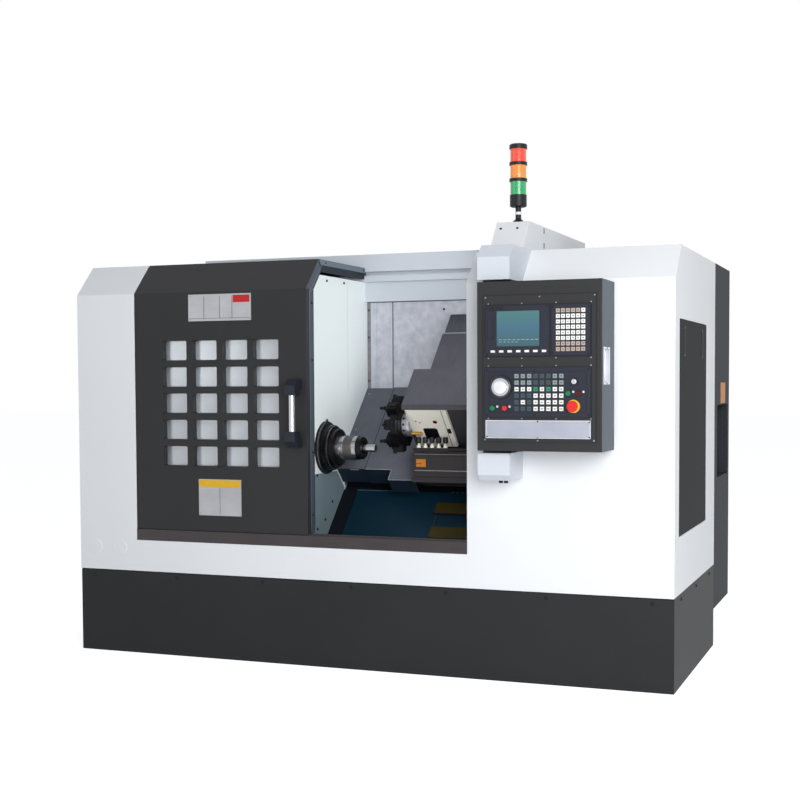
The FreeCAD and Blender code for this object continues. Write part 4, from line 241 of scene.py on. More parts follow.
def pane_material(name):
    """Clear sheet: light goes straight through it, under a faint smeared gloss."""
    m = bpy.data.materials.new(name)
    m.use_nodes = True
    nt = m.node_tree
    nt.nodes.clear()
    out = nt.nodes.new("ShaderNodeOutputMaterial")
    clear = nt.nodes.new("ShaderNodeBsdfTransparent")
    clear.inputs["Color"].default_value = (0.97, 0.98, 0.99, 1)
    gloss = nt.nodes.new("ShaderNodeBsdfGlossy")
    gloss.inputs["Color"].default_value = (0.9, 0.93, 0.96, 1)
    smear = texture(nt, "ShaderNodeTexNoise", 14, 5)
    nt.links.new(to_range(nt, out_of(smear), 0.06, 0.2), gloss.inputs["Roughness"])
    mix = nt.nodes.new("ShaderNodeMixShader")
    mix.inputs[0].default_value = 0.2
    nt.links.new(clear.outputs[0], mix.inputs[1])
    nt.links.new(gloss.outputs[0], mix.inputs[2])
    nt.links.new(mix.outputs[0], out.inputs["Surface"])
    return m


def knurl(name, col):
    """Turned steel with a fine diamond knurl."""
    m, nt, bsdf = new_material(name)
    cells = texture(nt, "ShaderNodeTexVoronoi", 520)
    tones = ramp(nt, out_of(cells), [(0.1, shade(col, 0.55)), (0.5, shade(col, 1.2))])
    nt.links.new(tones, bsdf.inputs["Base Color"])
    bsdf.inputs["Metallic"].default_value = 0.85
    bsdf.inputs["Roughness"].default_value = 0.42
    bump(nt, bsdf, out_of(cells), 0.8, 0.0008)
    return m


MAT = {
    "white": paint("white_enamel", rgb(238, 241, 245), 0.36, 0.08, drift=0.012, coat=0.1),
    # the same white paint greyed down for the top beam and pivot brackets: painted shade
    "beam": paint("white_enamel_painted_shade", rgb(208, 214, 222), 0.38, 0.08, drift=0.015, coat=0.1),
    "white_inside": paint("pale_green_enamel", rgb(240, 248, 248), 0.4, 0.08, drift=0.015),
    "dark": powder("dark_powder_coat", rgb(47, 47, 49), 0.5, 0.05),
    # a lighter slate copy of the dark coat for faces turned towards the light: painted light
    "slate_painted_light": powder("slate_coat_painted_light", rgb(78, 86, 96), 0.48, 0.06),
    "base_dark": powder("base_powder_coat", rgb(48, 49, 51), 0.5, 0.06, 0.1),
    "side_dark": powder("side_powder_coat", rgb(34, 35, 38), 0.55, 0.05, 0.04),
    "cabinet_dark": powder("cabinet_powder_coat", rgb(58, 60, 66), 0.55, 0.04, 0.05),
    "guard": paint("guard_enamel", rgb(246, 250, 254), 0.42, 0.08, drift=0.015),
    "back_wall": mottled("smoky_sheet", rgb(176, 178, 190), rgb(210, 211, 219), 30, 0.45, 0.25),
    "cover": brushed("cover_sheet", rgb(100, 103, 113), 0.46, (60, 2, 2), 0.4, 0.1, 0.05),
    "cover_lip": paint("cover_lip_navy", rgb(28, 40, 54), 0.42, 0.06, drift=0.12, spec=0.2),
    "hood": brushed("hood_sheet", rgb(82, 82, 92), 0.46, (60, 2, 2), 0.4, 0.14, 0.05),
    # darker copy of the hood sheet for its front faces: painted shade
    "hood_front_shaded": brushed("hood_sheet_painted_shade", rgb(66, 65, 70), 0.5, (60, 2, 2), 0.3, 0.14, 0.05),
    # light strips along sheet edges and ledges: painted highlights
    "edge_highlight": brushed("painted_edge_highlight", rgb(168, 170, 178), 0.34, (60, 2, 2), 0.5, 0.08, 0.03),
    "navy": paint("pan_navy", rgb(11, 41, 57), 0.42, 0.05, drift=0.18, spec=0.15),
    # near black for the shaded left end of the chip pan and for the bed: painted shadow
    "pan_shadow": paint("pan_painted_shadow", rgb(16, 20, 27), 0.5, 0.05, drift=0.2, spec=0.12),
    "olive": paint("bar_olive", rgb(60, 50, 18), 0.55, 0.1, drift=0.2, spec=0.15),
    "sill": brushed("sill_steel", rgb(66, 61, 63), 0.45, (2, 90, 90), 0.4, 0.12, 0.08),
    "apron": brushed("apron_steel", rgb(48, 44, 46), 0.45, (2, 90, 90), 0.45, 0.2, 0.08),
    "casting": paint("casting_paint", rgb(120, 126, 124), 0.5, 0.4, 260, 0.06),
    "cast_iron": powder("bare_casting", rgb(70, 72, 75), 0.55, 0.1),
    "steel": brushed("turned_steel", rgb(172, 173, 176), 0.22, (240, 3, 3), 0.97, 0.12, 0.06),
    "collar": brushed("collar_steel", rgb(46, 44, 46), 0.34, (240, 3, 3), 0.85, 0.16, 0.06),
    "ground": brushed("ground_steel", rgb(190, 190, 192), 0.22, (3, 120, 120), 0.95, 0.08, 0.04),
    "knurl": knurl("knurled_steel", rgb(88, 84, 84)),
    "oxide": brushed("black_oxide", rgb(15, 17, 19), 0.3, (160, 3, 3), 0.2, 0.15, 0.05, 0.2),
    "tool_black": powder("tool_block_black", rgb(13, 14, 17), 0.38, 0.14, 0.16),
    "cream": paint("cream_enamel", rgb(250, 245, 232), 0.36, 0.1, drift=0.03),
    "brass": brushed("brass", rgb(196, 152, 74), 0.3, (3, 80, 80), 0.9, 0.15, 0.04),
    "alu": brushed("satin_aluminium", rgb(188, 190, 196), 0.34, (120, 3, 3), 0.8, 0.06, 0.04),
    "alu_long": brushed("drawn_aluminium", rgb(200, 202, 206), 0.28, (90, 90, 2), 0.9, 0.08, 0.04),
    "cap_bright": brushed("bright_cap", rgb(226, 228, 232), 0.3, (3, 120, 120), 0.5, 0.04, 0.03),
    "wheel_ring": brushed("wheel_ring", rgb(66, 66, 70), 0.3, (3, 120, 120), 0.8, 0.2, 0.06),
    "return_dark": powder("door_return_coat", rgb(50, 53, 57), 0.5, 0.05),
    # lighter strips on the door's right end: painted highlights
    "return_highlight": powder("return_painted_highlight_coat", rgb(104, 118, 130), 0.45, 0.05),
    # near black for the underside of the door's roof and the deep part of its right end: painted shade
    "door_painted_shade": powder("roof_underside_painted_shade", rgb(30, 36, 46), 0.5, 0.08),
    "flange": mottled("flange_sheet", rgb(118, 114, 122), rgb(146, 142, 150), 40, 0.45, 0.3),
    # lower plate of the left wall: its own grey-green paint darkened further as painted shade
    "wall_low_painted_shade": paint("lower_plate_paint_and_shade", rgb(120, 138, 146), 0.42, 0.08, drift=0.06),
    "rust_screw": brushed("dull_screw", rgb(96, 78, 72), 0.45, (60, 60, 60), 0.6, 0.12, 0.03),
    # lighter navy along the pan's upper rim: painted highlight
    "pan_rim_highlight": paint("pan_rim_painted_highlight", rgb(64, 92, 108), 0.4, 0.05, drift=0.2),
    "glass_dash": plastic("display_dash", rgb(150, 176, 176), 0.4),
    "line_dark": plastic("seam_shadow", rgb(70, 74, 80), 0.6),
    "line_pale": paint("pale_edge", rgb(196, 204, 210), 0.4, 0.05, drift=0.03),
    "black": plastic("black_plastic", rgb(22, 23, 27), 0.42),
    "bracket": plastic("handle_bracket_black", rgb(27, 31, 42), 0.4, 0.2, 700),
    "rubber": plastic("black_rubber", rgb(24, 25, 26), 0.62, 0.2, 700),
    "bezel": plastic("bezel_blue_black", rgb(31, 34, 47), 0.45, 0.12, 900),
    "blank": brushed("blank_plate", rgb(168, 172, 186), 0.4, (2, 120, 120), 0.4, 0.04, 0.03),
    "key_white": plastic("key_white", rgb(232, 232, 228), 0.4),
    "key_tan": plastic("key_tan", rgb(176, 160, 148), 0.42),
    "key_grey": plastic("key_grey", rgb(140, 152, 152), 0.42),
    "key_dim": plastic("key_dim", rgb(62, 78, 84), 0.45),
    "key_green": plastic("key_green", rgb(40, 140, 96), 0.4),
    "red": plastic("button_red", rgb(214, 44, 46), 0.28, 0.03),
    "dark_red": plastic("button_dark_red", rgb(86, 14, 18), 0.28, 0.03),
    "green": plastic("button_green", rgb(24, 122, 78), 0.28, 0.03),
    "yellow": plastic("ring_yellow", rgb(232, 176, 34), 0.35),
    "orange": plastic("patch_orange", rgb(204, 128, 44), 0.45),
    "mark": plastic("dark_mark", rgb(44, 46, 52), 0.5),
    "screw": brushed("screw_steel", rgb(150, 152, 156), 0.3, (60, 60, 60), 0.9, 0.1, 0.03),
    "screw_black": brushed("screw_black", rgb(30, 31, 34), 0.4, (60, 60, 60), 0.5, 0.1, 0.03),
    "plate_silver": brushed("label_plate", rgb(178, 178, 182), 0.38, (2, 120, 120), 0.5, 0.05, 0.03),
    "label_red": plastic("label_red", rgb(190, 36, 38), 0.45),
    "label_yellow": plastic("label_yellow", rgb(226, 178, 42), 0.45),
    "lens_green": lens("lens_green", rgb(16, 160, 92)),
    "lens_amber": lens("lens_amber", rgb(236, 138, 40)),
    "lens_red": lens("lens_red", rgb(232, 66, 36)),
    "pane": pane_material("pane_clear"),
    "eye": plastic("eye_red", rgb(92, 28, 22), 0.12, 0.02),
    "module": plastic("drive_module_grey", rgb(96, 100, 108), 0.5, 0.2, 500),
    "zinc": mottled("zinc_plate", rgb(150, 152, 150), rgb(186, 188, 186), 60, 0.4, 0.6),
}


def screen_material():
    """A lit display: a teal field that fades downwards, with a faint dot grid."""
    m, nt, bsdf = new_material("display_teal")
    coords = nt.nodes.new("ShaderNodeTexCoord")
    split = nt.nodes.new("ShaderNodeSeparateXYZ")
    nt.links.new(coords.outputs["Object"], split.inputs["Vector"])
    rise = nt.nodes.new("ShaderNodeMapRange")
    rise.inputs["From Min"].default_value = 1.276
    rise.inputs["From Max"].default_value = 1.403
    nt.links.new(split.outputs["Z"], rise.inputs["Value"])
    field = ramp(nt, rise.outputs["Result"], [
        (0.0, rgb(50, 82, 92)), (0.5, rgb(56, 94, 112)), (1.0, rgb(62, 106, 106))])
    grain = texture(nt, "ShaderNodeTexNoise", 420, 2)
    mix = nt.nodes.new("ShaderNodeMix")
    mix.data_type = "RGBA"
    mix.blend_type = "MULTIPLY"
    mix.inputs[0].default_value = 0.25
    nt.links.new(field, mix.inputs[6])
    nt.links.new(ramp(nt, out_of(grain), [(0.4, (0.8, 0.8, 0.8)), (0.6, (1, 1, 1))]), mix.inputs[7])
    nt.links.new(mix.outputs[2], bsdf.inputs["Base Color"])
    nt.links.new(mix.outputs[2], bsdf.inputs["Emission Color"])
    bsdf.inputs["Emission Strength"].default_value = 0.3
    bsdf.inputs["Roughness"].default_value = 0.18
    return m


MAT["screen"] = screen_material()


# ---------------------------------------------------------------- CAD nodes
def dress(name, default, *rules):
    """Give a CAD node its default material and others where a test on a face is true."""
    obj = NODES[name]
    mesh = obj.data
    used = [default] + [m for m, _ in rules]
    mesh.materials.clear()
    for key in used:
        mesh.materials.append(MAT[key])
    if rules:
        for poly in mesh.polygons:
            centre = mm(poly.center)
            poly.material_index = 0
            for index, (_, test) in enumerate(rules, start=1):
                if test(centre, poly.normal):
                    poly.material_index = index
                    break
    else:
        for poly in mesh.polygons:
            poly.material_index = 0


def slope_n(c):
    return (c[2] - c[1]) * ROOT_HALF


def slope_s(c):
    return (c[2] + c[1]) * ROOT_HALF


def key_class(c):
    """Which colour a key has, from its column and row."""
    x, z = c[0], c[2]
    if z > 1240:
        if x < 2160:
            return "key_white"
        row = int((1410 - z) // 19.6)
        column = int((x - 2174) // 18.4)
        if row == 0:
            return "key_tan" if column < 5 else "key_white"
        return "key_tan" if row >= 6 else "key_white"
    row = int((1178 - z) // 23.5)
    column = int((x - 2018) // 23.7)
    table = [
        "ggg" "ddd" "gg",
        "ggg" "ddd" "gg",
        "www" "nwn" "ww",
        "ddd" "www" "ww",
        "dwd" "www" "ww",
        "ddd" "www" "ww",
    ]
    letter = table[min(row, 5)][min(column, 7)]
    return {"g": "key_grey", "d": "key_dim", "w": "key_white", "n": "key_green"}[letter]


def lip_face(c, n):
    """True on the front lip of a sloping cover, which hangs square to the slope."""
    return n[1] < -0.5 and n[2] < -0.3


FINGER_SLOTS_Y = (206, 626)

dress("base_frame", "base_dark")
dress("front_cover", "white")
dress("right_cover", "white", ("white_inside", lambda c, n: 2149 < c[0] < 2155 and c[1] > 6))
dress("side_panel", "side_dark",
      ("black", lambda c, n: c[0] < 2559.9 and 1248 < c[2] < 1346
       and min(abs(c[1] - y) for y in FINGER_SLOTS_Y) < 9.5))
dress("door_sill", "sill")
# top beam in the greyed white: painted shade
dress("top_beam", "beam")
dress("rear_roof_cover", "white")
dress("headstock_guard", "guard")
dress("chamber_left_wall", "white_inside")
dress("chamber_back_wall", "back_wall")
dress("chip_pan", "navy",
      ("olive", lambda c, n: slope_n(c) > 202 and c[1] > 160 and c[0] > 1400),
      ("pan_shadow", lambda c, n: c[0] < 1133))
dress("electrical_cabinet", "cabinet_dark",
      ("module", lambda c, n: 1650 < c[0] < 2490 and 994 < c[1] < 1170 and 165 < c[2] < 1640),
      ("zinc", lambda c, n: 1650 < c[0] < 2490 and 984.5 < c[1] <= 994),
      ("oxide", lambda c, n: c[0] > 2495 and 1059 < c[1] < 1389 and 726 < c[2] < 1041))
dress("cabinet_door", "cabinet_dark")
dress("main_switch", "steel")
dress("tower_housing", "white", ("mark", lambda c, n: 1880 < c[0] < 1884.9 and 660 < c[1] < 690))
dress("lamp_body", "black")
dress("lamp_lenses", "lens_green",
      ("lens_amber", lambda c, n: 1980 < c[2] < 2045), ("lens_red", lambda c, n: c[2] >= 2045))
# pivot brackets in the greyed white (painted shade), black below z 783.9
dress("pivot_brackets", "beam", ("black", lambda c, n: c[2] < 783.9))
# door: on its right end a lighter slate band (painted light) and near black further back and under the roof
# (painted shade)
dress("door_shell", "dark",
      ("door_painted_shade", lambda c, n: c[0] > 1085.5 and c[1] > 130),
      ("slate_painted_light", lambda c, n: c[0] > 1085.5 and c[1] > 31),
      ("return_dark", lambda c, n: c[0] > 1085.5),
      ("door_painted_shade", lambda c, n: n[2] < -0.5 and c[1] > 40 and c[2] > 1500),
      ("slate_painted_light", lambda c, n: c[1] > 600))
dress("window_pane", "pane")
dress("handle_bar", "alu_long")
dress("handle_brackets", "bracket")
dress("headstock_casting", "casting")
dress("spindle_bearings", "steel")
dress("spindle_cover_ring", "oxide")
dress("spindle_shaft", "steel")
dress("chuck_adaptor", "oxide")
dress("collet_chuck", "steel",
      ("collar", lambda c, n: c[0] < 1141),
      ("knurl", lambda c, n: 1168 < c[0] < 1205 and abs(n[0]) < 0.2),
      ("oxide", lambda c, n: c[0] > 1221.5))
dress("bar_stock", "steel")
dress("spindle_pulley", "cast_iron")
dress("motor_pulley", "cast_iron")
dress("spindle_motor", "casting")
dress("drive_belt", "rubber")
# the bed in the chamber takes the painted shadow colour
dress("bed_casting", "pan_shadow", ("ground", lambda c, n: slope_n(c) > 214 and n[2] > 0.6))
dress("z_screw", "ground")
dress("z_servo_motor", "black")
for cover in ("fixed_way_cover", "way_cover_middle", "sliding_way_cover"):
    dress(cover, "cover", ("cover_lip", lip_face))
dress("saddle", "cast_iron")
dress("apron", "apron")
dress("x_cover_fixed", "hood")
dress("x_cover_plate", "hood")
dress("cross_slide", "cast_iron")
dress("turret_housing", "cream",
      ("tool_black", lambda c, n: 1497 < c[0] < 1560 and 454 < slope_n(c) < 517 and 840.5 < slope_s(c) < 850),
      ("eye", lambda c, n: abs(c[0] - 1560) < 10 and abs(slope_n(c) - 555) < 10 and 840.5 < slope_s(c) < 848),
      ("steel", lambda c, n: c[0] < 1446.5))
# the hood's front faces take the darker copy: painted shade
dress("x_cover_hood", "hood", ("hood_front_shaded", lambda c, n: n[1] < -0.5 and n[2] < 0.3))
dress("coolant_manifold", "ground",
      ("rubber", lambda c, n: c[0] > 1601),
      ("brass", lambda c, n: slope_n(c) > 484 and slope_s(c) > 820),
      ("black", lambda c, n: c[2] > 906 and c[1] < 264),
      ("cream", lambda c, n: c[1] < 264 and c[2] > 879.9),
      ("collar", lambda c, n: c[2] < 880.5))
dress("turret_disc", "steel", ("tool_black", lambda c, n: c[0] > 1377 and c[0] < 1400 and abs(n[0]) < 0.5))
dress("tool_holders", "tool_black")
dress("control_box", "dark",
      # the box's right side in the lighter slate: painted light on the same dark coat
      ("slate_painted_light", lambda c, n: n[0] > 0.9 and c[0] > 2330),
      ("alu", lambda c, n: 2325 < c[0] < 2339.5 and -186 < c[1] < -100 and 1143 < c[2] < 1265),
      # black above z 1512 and below z 896: the pivot washers, a real part whose black also paints the shade
      # in the pivot gaps
      ("black", lambda c, n: c[2] > 1512 or c[2] < 896))
dress("control_panel", "dark",
      ("blank", lambda c, n: -220.5 < c[1] < -218.6 and 940 < c[2] < 1012),
      ("bezel", lambda c, n: c[1] < -218.5))
dress("screen", "screen")
dress("key_caps", "key_white", *[
    (name, lambda c, n, name=name: key_class(c) == name)
    for name in ("key_tan", "key_grey", "key_dim", "key_green")])
dress("emergency_stop", "red")
dress("power_on_button", "green")
dress("power_off_button", "red")
dress("cycle_start_button", "green")
dress("feed_hold_button", "dark_red")
dress("handwheel", "alu",
      ("cap_bright", lambda c, n: c[1] < -239.5),
      ("wheel_ring", lambda c, n: (c[0] - 1972) ** 2 + (c[2] - 1129) ** 2 > 35.5 ** 2))
dress("key_switch", "black", ("cap_bright", lambda c, n: c[1] < -233.2 and n[1] < -0.9))


# ---------------------------------------------------------------- edge softening
def soften(name, width, segments=2, angle=35):
    """Rounds the sharp edges of a CAD node by a hair, so that they catch the light."""
    obj = NODES[name]
    weld = obj.modifiers.new("weld", "WELD")
    weld.merge_threshold = 0.00005
    bevel = obj.modifiers.new("edge", "BEVEL")
    bevel.width = width / 1000
    bevel.segments = segments
    bevel.limit_method = "ANGLE"
    bevel.angle_limit = math.radians(angle)
    bevel.harden_normals = False
    bevel.use_clamp_overlap = True


for name, width in (
        ("front_cover", 1.6), ("right_cover", 1.6), ("door_shell", 1.2), ("control_box", 1.6),
        ("tower_housing", 1.6), ("turret_housing", 1.4), ("base_frame", 1.8),
        ("electrical_cabinet", 1.4), ("handle_brackets", 1.2),
        ("x_cover_hood", 0.8), ("handwheel", 0.6)):
    soften(name, width)


# ---------------------------------------------------------------- added pieces
class Piece:
    """Collects small solids in one mesh, each with its own material."""

    def __init__(self, name, body, slot=None):
        self.name = name
        self.body = body
        self.slot = slot
        self.bm = bmesh.new()
        self.keys = []

    def material(self, key):
        if key not in self.keys:
            self.keys.append(key)
        return self.keys.index(key)

    def take(self, made, key, matrix, smooth=False):
        index = self.material(key)
        verts = [self.bm.verts.new(matrix @ v.co) for v in made.verts]
        made.verts.index_update()
        for face in made.faces:
            new = self.bm.faces.new([verts[v.index] for v in face.verts])
            new.material_index = index
            new.smooth = smooth
        made.free()

    def block(self, lo, hi, key, edge=0.3, turn=None):
        """A box between two corners in mm, with its edges rounded."""
        lo = Vector(lo)
        hi = Vector(hi)
        size = (hi - lo) / 1000
        made = bmesh.new()
        bmesh.ops.create_cube(made, size=1.0)
        bmesh.ops.scale(made, vec=size, verts=made.verts)
        if edge:
            bmesh.ops.bevel(
                made, geom=made.edges[:], offset=edge / 1000, segments=2, affect="EDGES", clamp_overlap=True)
        middle = (lo + hi) / 2
        matrix = Matrix.Translation(at(*middle))
        if turn is not None:
            matrix = matrix @ turn.to_4x4()
        self.take(made, key, matrix)

    def prism(self, x0, x1, outline, key):
        """An outline of (y, z) points in mm, drawn out from x0 to x1."""
        made = bmesh.new()
        ends = [[made.verts.new(at(x, y, z)) for y, z in outline] for x in (x0, x1)]
        made.faces.new(ends[0])
        made.faces.new(list(reversed(ends[1])))
        count = len(outline)
        for i in range(count):
            j = (i + 1) % count
            made.faces.new((ends[0][i], ends[0][j], ends[1][j], ends[1][i]))
        bmesh.ops.recalc_face_normals(made, faces=made.faces[:])
        self.take(made, key, Matrix.Identity(4))

    def slope(self, x0, x1, s0, s1, n0, n1, key):
        """A box square to the slope of the bed."""
        self.prism(x0, x1, [
            ((s - n) * ROOT_HALF, (s + n) * ROOT_HALF)
            for s, n in ((s0, n0), (s1, n0), (s1, n1), (s0, n1))], key)

    def frame(self, x0, x1, z0, z1, y0, y1, width, key):
        """Four strips round a rectangle of the control panel."""
        self.block((x0, y0, z0), (x1, y1, z0 + width), key, 0)
        self.block((x0, y0, z1 - width), (x1, y1, z1), key, 0)
        self.block((x0, y0, z0 + width), (x0 + width, y1, z1 - width), key, 0)
        self.block((x1 - width, y0, z0 + width), (x1, y1, z1 - width), key, 0)

    def lathe(self, where, axis, profile, key, sides=24):
        """A turned solid: profile holds (radius, height) pairs in mm along the axis."""
        made = bmesh.new()
        rings = []
        for radius, height in profile:
            if radius <= 0:
                rings.append([made.verts.new((0, 0, height / 1000))])
                continue
            rings.append([
                made.verts.new((
                    radius / 1000 * math.cos(2 * math.pi * i / sides),
                    radius / 1000 * math.sin(2 * math.pi * i / sides), height / 1000))
                for i in range(sides)])
        hollow = profile[0][0] > 0 and profile[-1][0] > 0
        for low, high in zip(rings, rings[1:] + rings[:1] if hollow else rings[1:]):
            for i in range(sides):
                j = (i + 1) % sides
                if len(low) == 1 and len(high) == 1:
                    continue
                if len(low) == 1:
                    made.faces.new((low[0], high[j], high[i]))
                elif len(high) == 1:
                    made.faces.new((low[i], low[j], high[0]))
                else:
                    made.faces.new((low[i], low[j], high[j], high[i]))
        bmesh.ops.recalc_face_normals(made, faces=made.faces[:])
        turn = Vector(axis).normalized().to_track_quat("Z", "Y").to_matrix().to_4x4()
        self.take(made, key, Matrix.Translation(where) @ turn, smooth=True)

    def done(self):
        mesh = bpy.data.meshes.new(self.name)
        bmesh.ops.recalc_face_normals(self.bm, faces=self.bm.faces[:])
        self.bm.to_mesh(mesh)
        self.bm.free()
        for key in self.keys:
            mesh.materials.append(MAT[key])
        obj = bpy.data.objects.new(self.name, mesh)
        bpy.context.scene.collection.objects.link(obj)
        mesh.set_sharp_from_angle(angle=math.radians(35))
        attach(obj, self.body)
        return obj


def pan_screw(piece, where, axis, radius, key="screw"):
    """A domed screw head with a hexagon socket."""
    r = radius
    piece.lathe(where, axis, [
        (0, -0.5), (r, -0.5), (r, r * 0.25), (r * 0.8, r * 0.5), (r * 0.48, r * 0.58),
        (r * 0.44, r * 0.25), (0, r * 0.22)], key, 18)


# turret head: round disc with eight blocks and their tools, and the bright flange behind it
HEAD_SHIFT = 10
DISC_X, FLANGE_X, HUB_CAP_X = 1362, 1402, 1354


def on_turret(angle, x, across, out):
    """A point carried round the turret axis: out along the spoke, across it, at x."""
    y = -out * math.sin(angle) + across * math.cos(angle)
    z = out * math.cos(angle) + across * math.sin(angle)
    return at(x + HEAD_SHIFT, TURRET_Y + y, TURRET_Z + z)


def spoke(piece, angle, x0, x1, half, inner, outer, key, edge=1.2):
    """A block on a spoke of the turret, with rounded edges."""
    made = bmesh.new()
    bmesh.ops.create_cube(made, size=1.0)
    bmesh.ops.scale(made, vec=((x1 - x0) / 1000, 2 * half / 1000, (outer - inner) / 1000), verts=made.verts)
    bmesh.ops.bevel(made, geom=made.edges[:], offset=edge / 1000, segments=2,
                    affect="EDGES", clamp_overlap=True)
    turn = Matrix.Rotation(angle, 4, "X")
    piece.take(made, key, Matrix.Translation(on_turret(angle, (x0 + x1) / 2, 0, (inner + outer) / 2)) @ turn)


turret = Piece("turret_head", "turret", "black_oxide")
turret.lathe(at(DISC_X, TURRET_Y, TURRET_Z), (1, 0, 0), [
    (0, -8), (26, -8), (30, -5), (30, 0), (44, 0), (46, 2), (80, 2), (84, 6), (84, 36), (80, 40), (0, 40)],
    "tool_black", 48)
turret.lathe(at(FLANGE_X, TURRET_Y, TURRET_Z), (1, 0, 0), [
    (0, 0), (47, 0), (50, 3), (50, 16), (48, 18), (48, 21), (50, 23), (50, 34), (47, 37), (43, 37.5),
    (43, 39.6), (0, 39.6)], "alu", 56)
turret.lathe(at(HUB_CAP_X, TURRET_Y, TURRET_Z), (-1, 0, 0), [
    (0, -2), (14, -2), (14, 9), (12, 12), (7, 13), (6.4, 11), (0, 10.6)], "steel", 36)
for k in range(12):
    a = 2 * math.pi * k / 12
    turret.lathe(on_turret(a, 1403, 0, 49.2), (0, -math.sin(a), math.cos(a)), [
        (0, -2), (4.6, -2), (4.6, 1.2), (0, 1.25)], "tool_black", 12)
    pan_screw(turret, on_turret(a, 1346, 0, 38), (-1, 0, 0), 3.6, "screw_black")
for k in range(8):
    a = 2 * math.pi * k / 8
    spoke(turret, a, 1346, 1390, 22, 78, 112, "tool_black", 2)
    spoke(turret, a, 1338, 1352, 18, 60, 104, "tool_black", 2)
    spoke(turret, a, 1350, 1386, 9, 110, 116, "oxide", 1)
    for x in (1358, 1378):
        for side in (-13, 13):
            turret.lathe(on_turret(a, x, side, 112), (0, -math.sin(a), math.cos(a)), [
                (0, -1), (3.8, -1), (3.8, 2.4), (2.4, 2.6), (2.2, 1.2), (0, 1.1)], "screw_black", 12)
    if k % 2:
        turret.lathe(on_turret(a, 1330, 0, 95), (-1, 0, 0), [
            (0, -14), (9, -14), (9, 4), (7, 6), (7, 20), (5, 22), (0, 22)], "oxide", 20)
    else:
        spoke(turret, a, 1340, 1353, 6, 92, 122, "oxide", 0.8)
head = turret.done()
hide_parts("turret_disc", "tool_holders")

# base: row of domed screws under the groove
base_bits = Piece("base_screws", "machine", "dark_paint")
for x in (68, 472, 874, 1273, 1674, 2075, 2480):
    pan_screw(base_bits, at(x, 4, 330), (0, -1, 0), 7, "screw_black")
for y in (150, 500, 850):
    pan_screw(base_bits, at(2560, y, 330), (1, 0, 0), 7, "screw_black")
    pan_screw(base_bits, at(0, y, 330), (-1, 0, 0), 7, "screw_black")
base_bits.done()

# two plugged holes low on the left pillar
caps = Piece("pillar_plugs", "machine", "white_paint")
for x in (78, 200):
    caps.lathe(at(x, 0, 448.5), (0, -1, 0), [
        (0, -1), (33, -1), (33, 1.2), (31.5, 2.2), (29.5, 2.2), (29, 1.0), (27.5, 1.0), (27, 1.8), (0, 2.0)],
        "white", 48)
caps.done()

# bare plates on the door
plates = Piece("door_plates", "door", "sill_steel")
plates.block((547, -2.0, 1404), (839, 0.5, 1514), "plate_silver", 0.8)
plates.block((756, -2.6, 1478), (833, -1.8, 1508), "label_red", 0.2)
for x in (621, 694, 752):
    plates.block((x - 0.8, -2.4, 1412), (x + 0.8, -1.8, 1506), "mark", 0)
plates.block((553, -2.4, 1414), (833, -1.8, 1415.4), "mark", 0)
for x, z in ((554, 1411), (832, 1411), (554, 1507), (832, 1507)):
    pan_screw(plates, at(x, -2.4, z), (0, -1, 0), 2.4, "screw")
plates.block((587, -2.0, 599), (786, 0.5, 750), "plate_silver", 0.8)
plates.block((590, -2.6, 718), (783, -1.8, 747), "label_yellow", 0.2)
plates.block((686, -2.4, 606), (687.4, -1.8, 716), "mark", 0)
for x, z in ((593, 605), (780, 605)):
    pan_screw(plates, at(x, -2.4, z), (0, -1, 0), 2.4, "screw")
plates.done()

# left wall: screws, the fold, and the bolted lower plate, darker than the wall partly by its own grey-green
# paint and partly by painted shade
wall_bits = Piece("wall_screws", "machine", "light_grey_paint")
for y, z in ((235, 1572), (410, 1574)):
    pan_screw(wall_bits, at(1070, y, z), (1, 0, 0), 6, "screw_black")
for y, z in ((123, 766), (272, 646), (199, 577), (123, 544)):
    pan_screw(wall_bits, at(1071, y, z), (1, 0, 0), 6, "screw_black")
wall_bits.block((1069.8, 446, 1108), (1070.5, 448, 1582), "line_pale", 0)
wall_bits.prism(1069.9, 1070.9, [
    (76, 505), (76, 772), (324, 772), (398, 698), (398, 688), (214, 506)], "wall_low_painted_shade")
wall_bits.done()

# painted highlights on the black rings of the spindle nose: thin bright steel rings along their edges
nose = Piece("cover_ring_highlights", "machine", "bright_steel")
for r in (98, 105.5):
    nose.lathe(at(1081, SPINDLE_Y, SPINDLE_Z), (1, 0, 0), [
        (r, -0.5), (r + 1.8, -0.5), (r + 1.8, 0.8), (r, 0.8)], "ground", 64)
nose.done()
nose = Piece("adaptor_highlights", "spindle", "bright_steel")
nose.lathe(at(1114, SPINDLE_Y, SPINDLE_Z), (1, 0, 0), [
    (88.5, -0.5), (90.6, -0.5), (90.6, 0.8), (88.5, 0.8)], "ground", 64)
nose.done()

# rear wall: flange strip, lapped seam and their screws
rear = Piece("rear_wall_seam", "machine", "light_grey_paint")
rear.block((1070.3, 665.6, 1113), (1087, 667.2, 1506), "flange", 0.2)
rear.block((1088, 665.8, 1113), (1098, 667.4, 1506), "line_pale", 0.4)
rear.block((1184, 667.4, 1113), (1190.4, 670.2, 1506), "line_pale", 0.3)
rear.block((1190.4, 668.0, 1113), (1193.6, 670.2, 1506), "mark", 0)
rear.block((1070.3, 664.8, 1507), (1098, 668, 1512), "line_dark", 0.3)
for z in (1155, 1349, 1470):
    pan_screw(rear, at(1078, 665.6, z), (0, -1, 0), 5, "rust_screw")
pan_screw(rear, at(1434, 668.4, 1467), (0, -1, 0), 5.5, "mark")
rear.block((1072, 664, 1503), (2150, 665, 1505.6), "line_dark", 0)
rear.done()

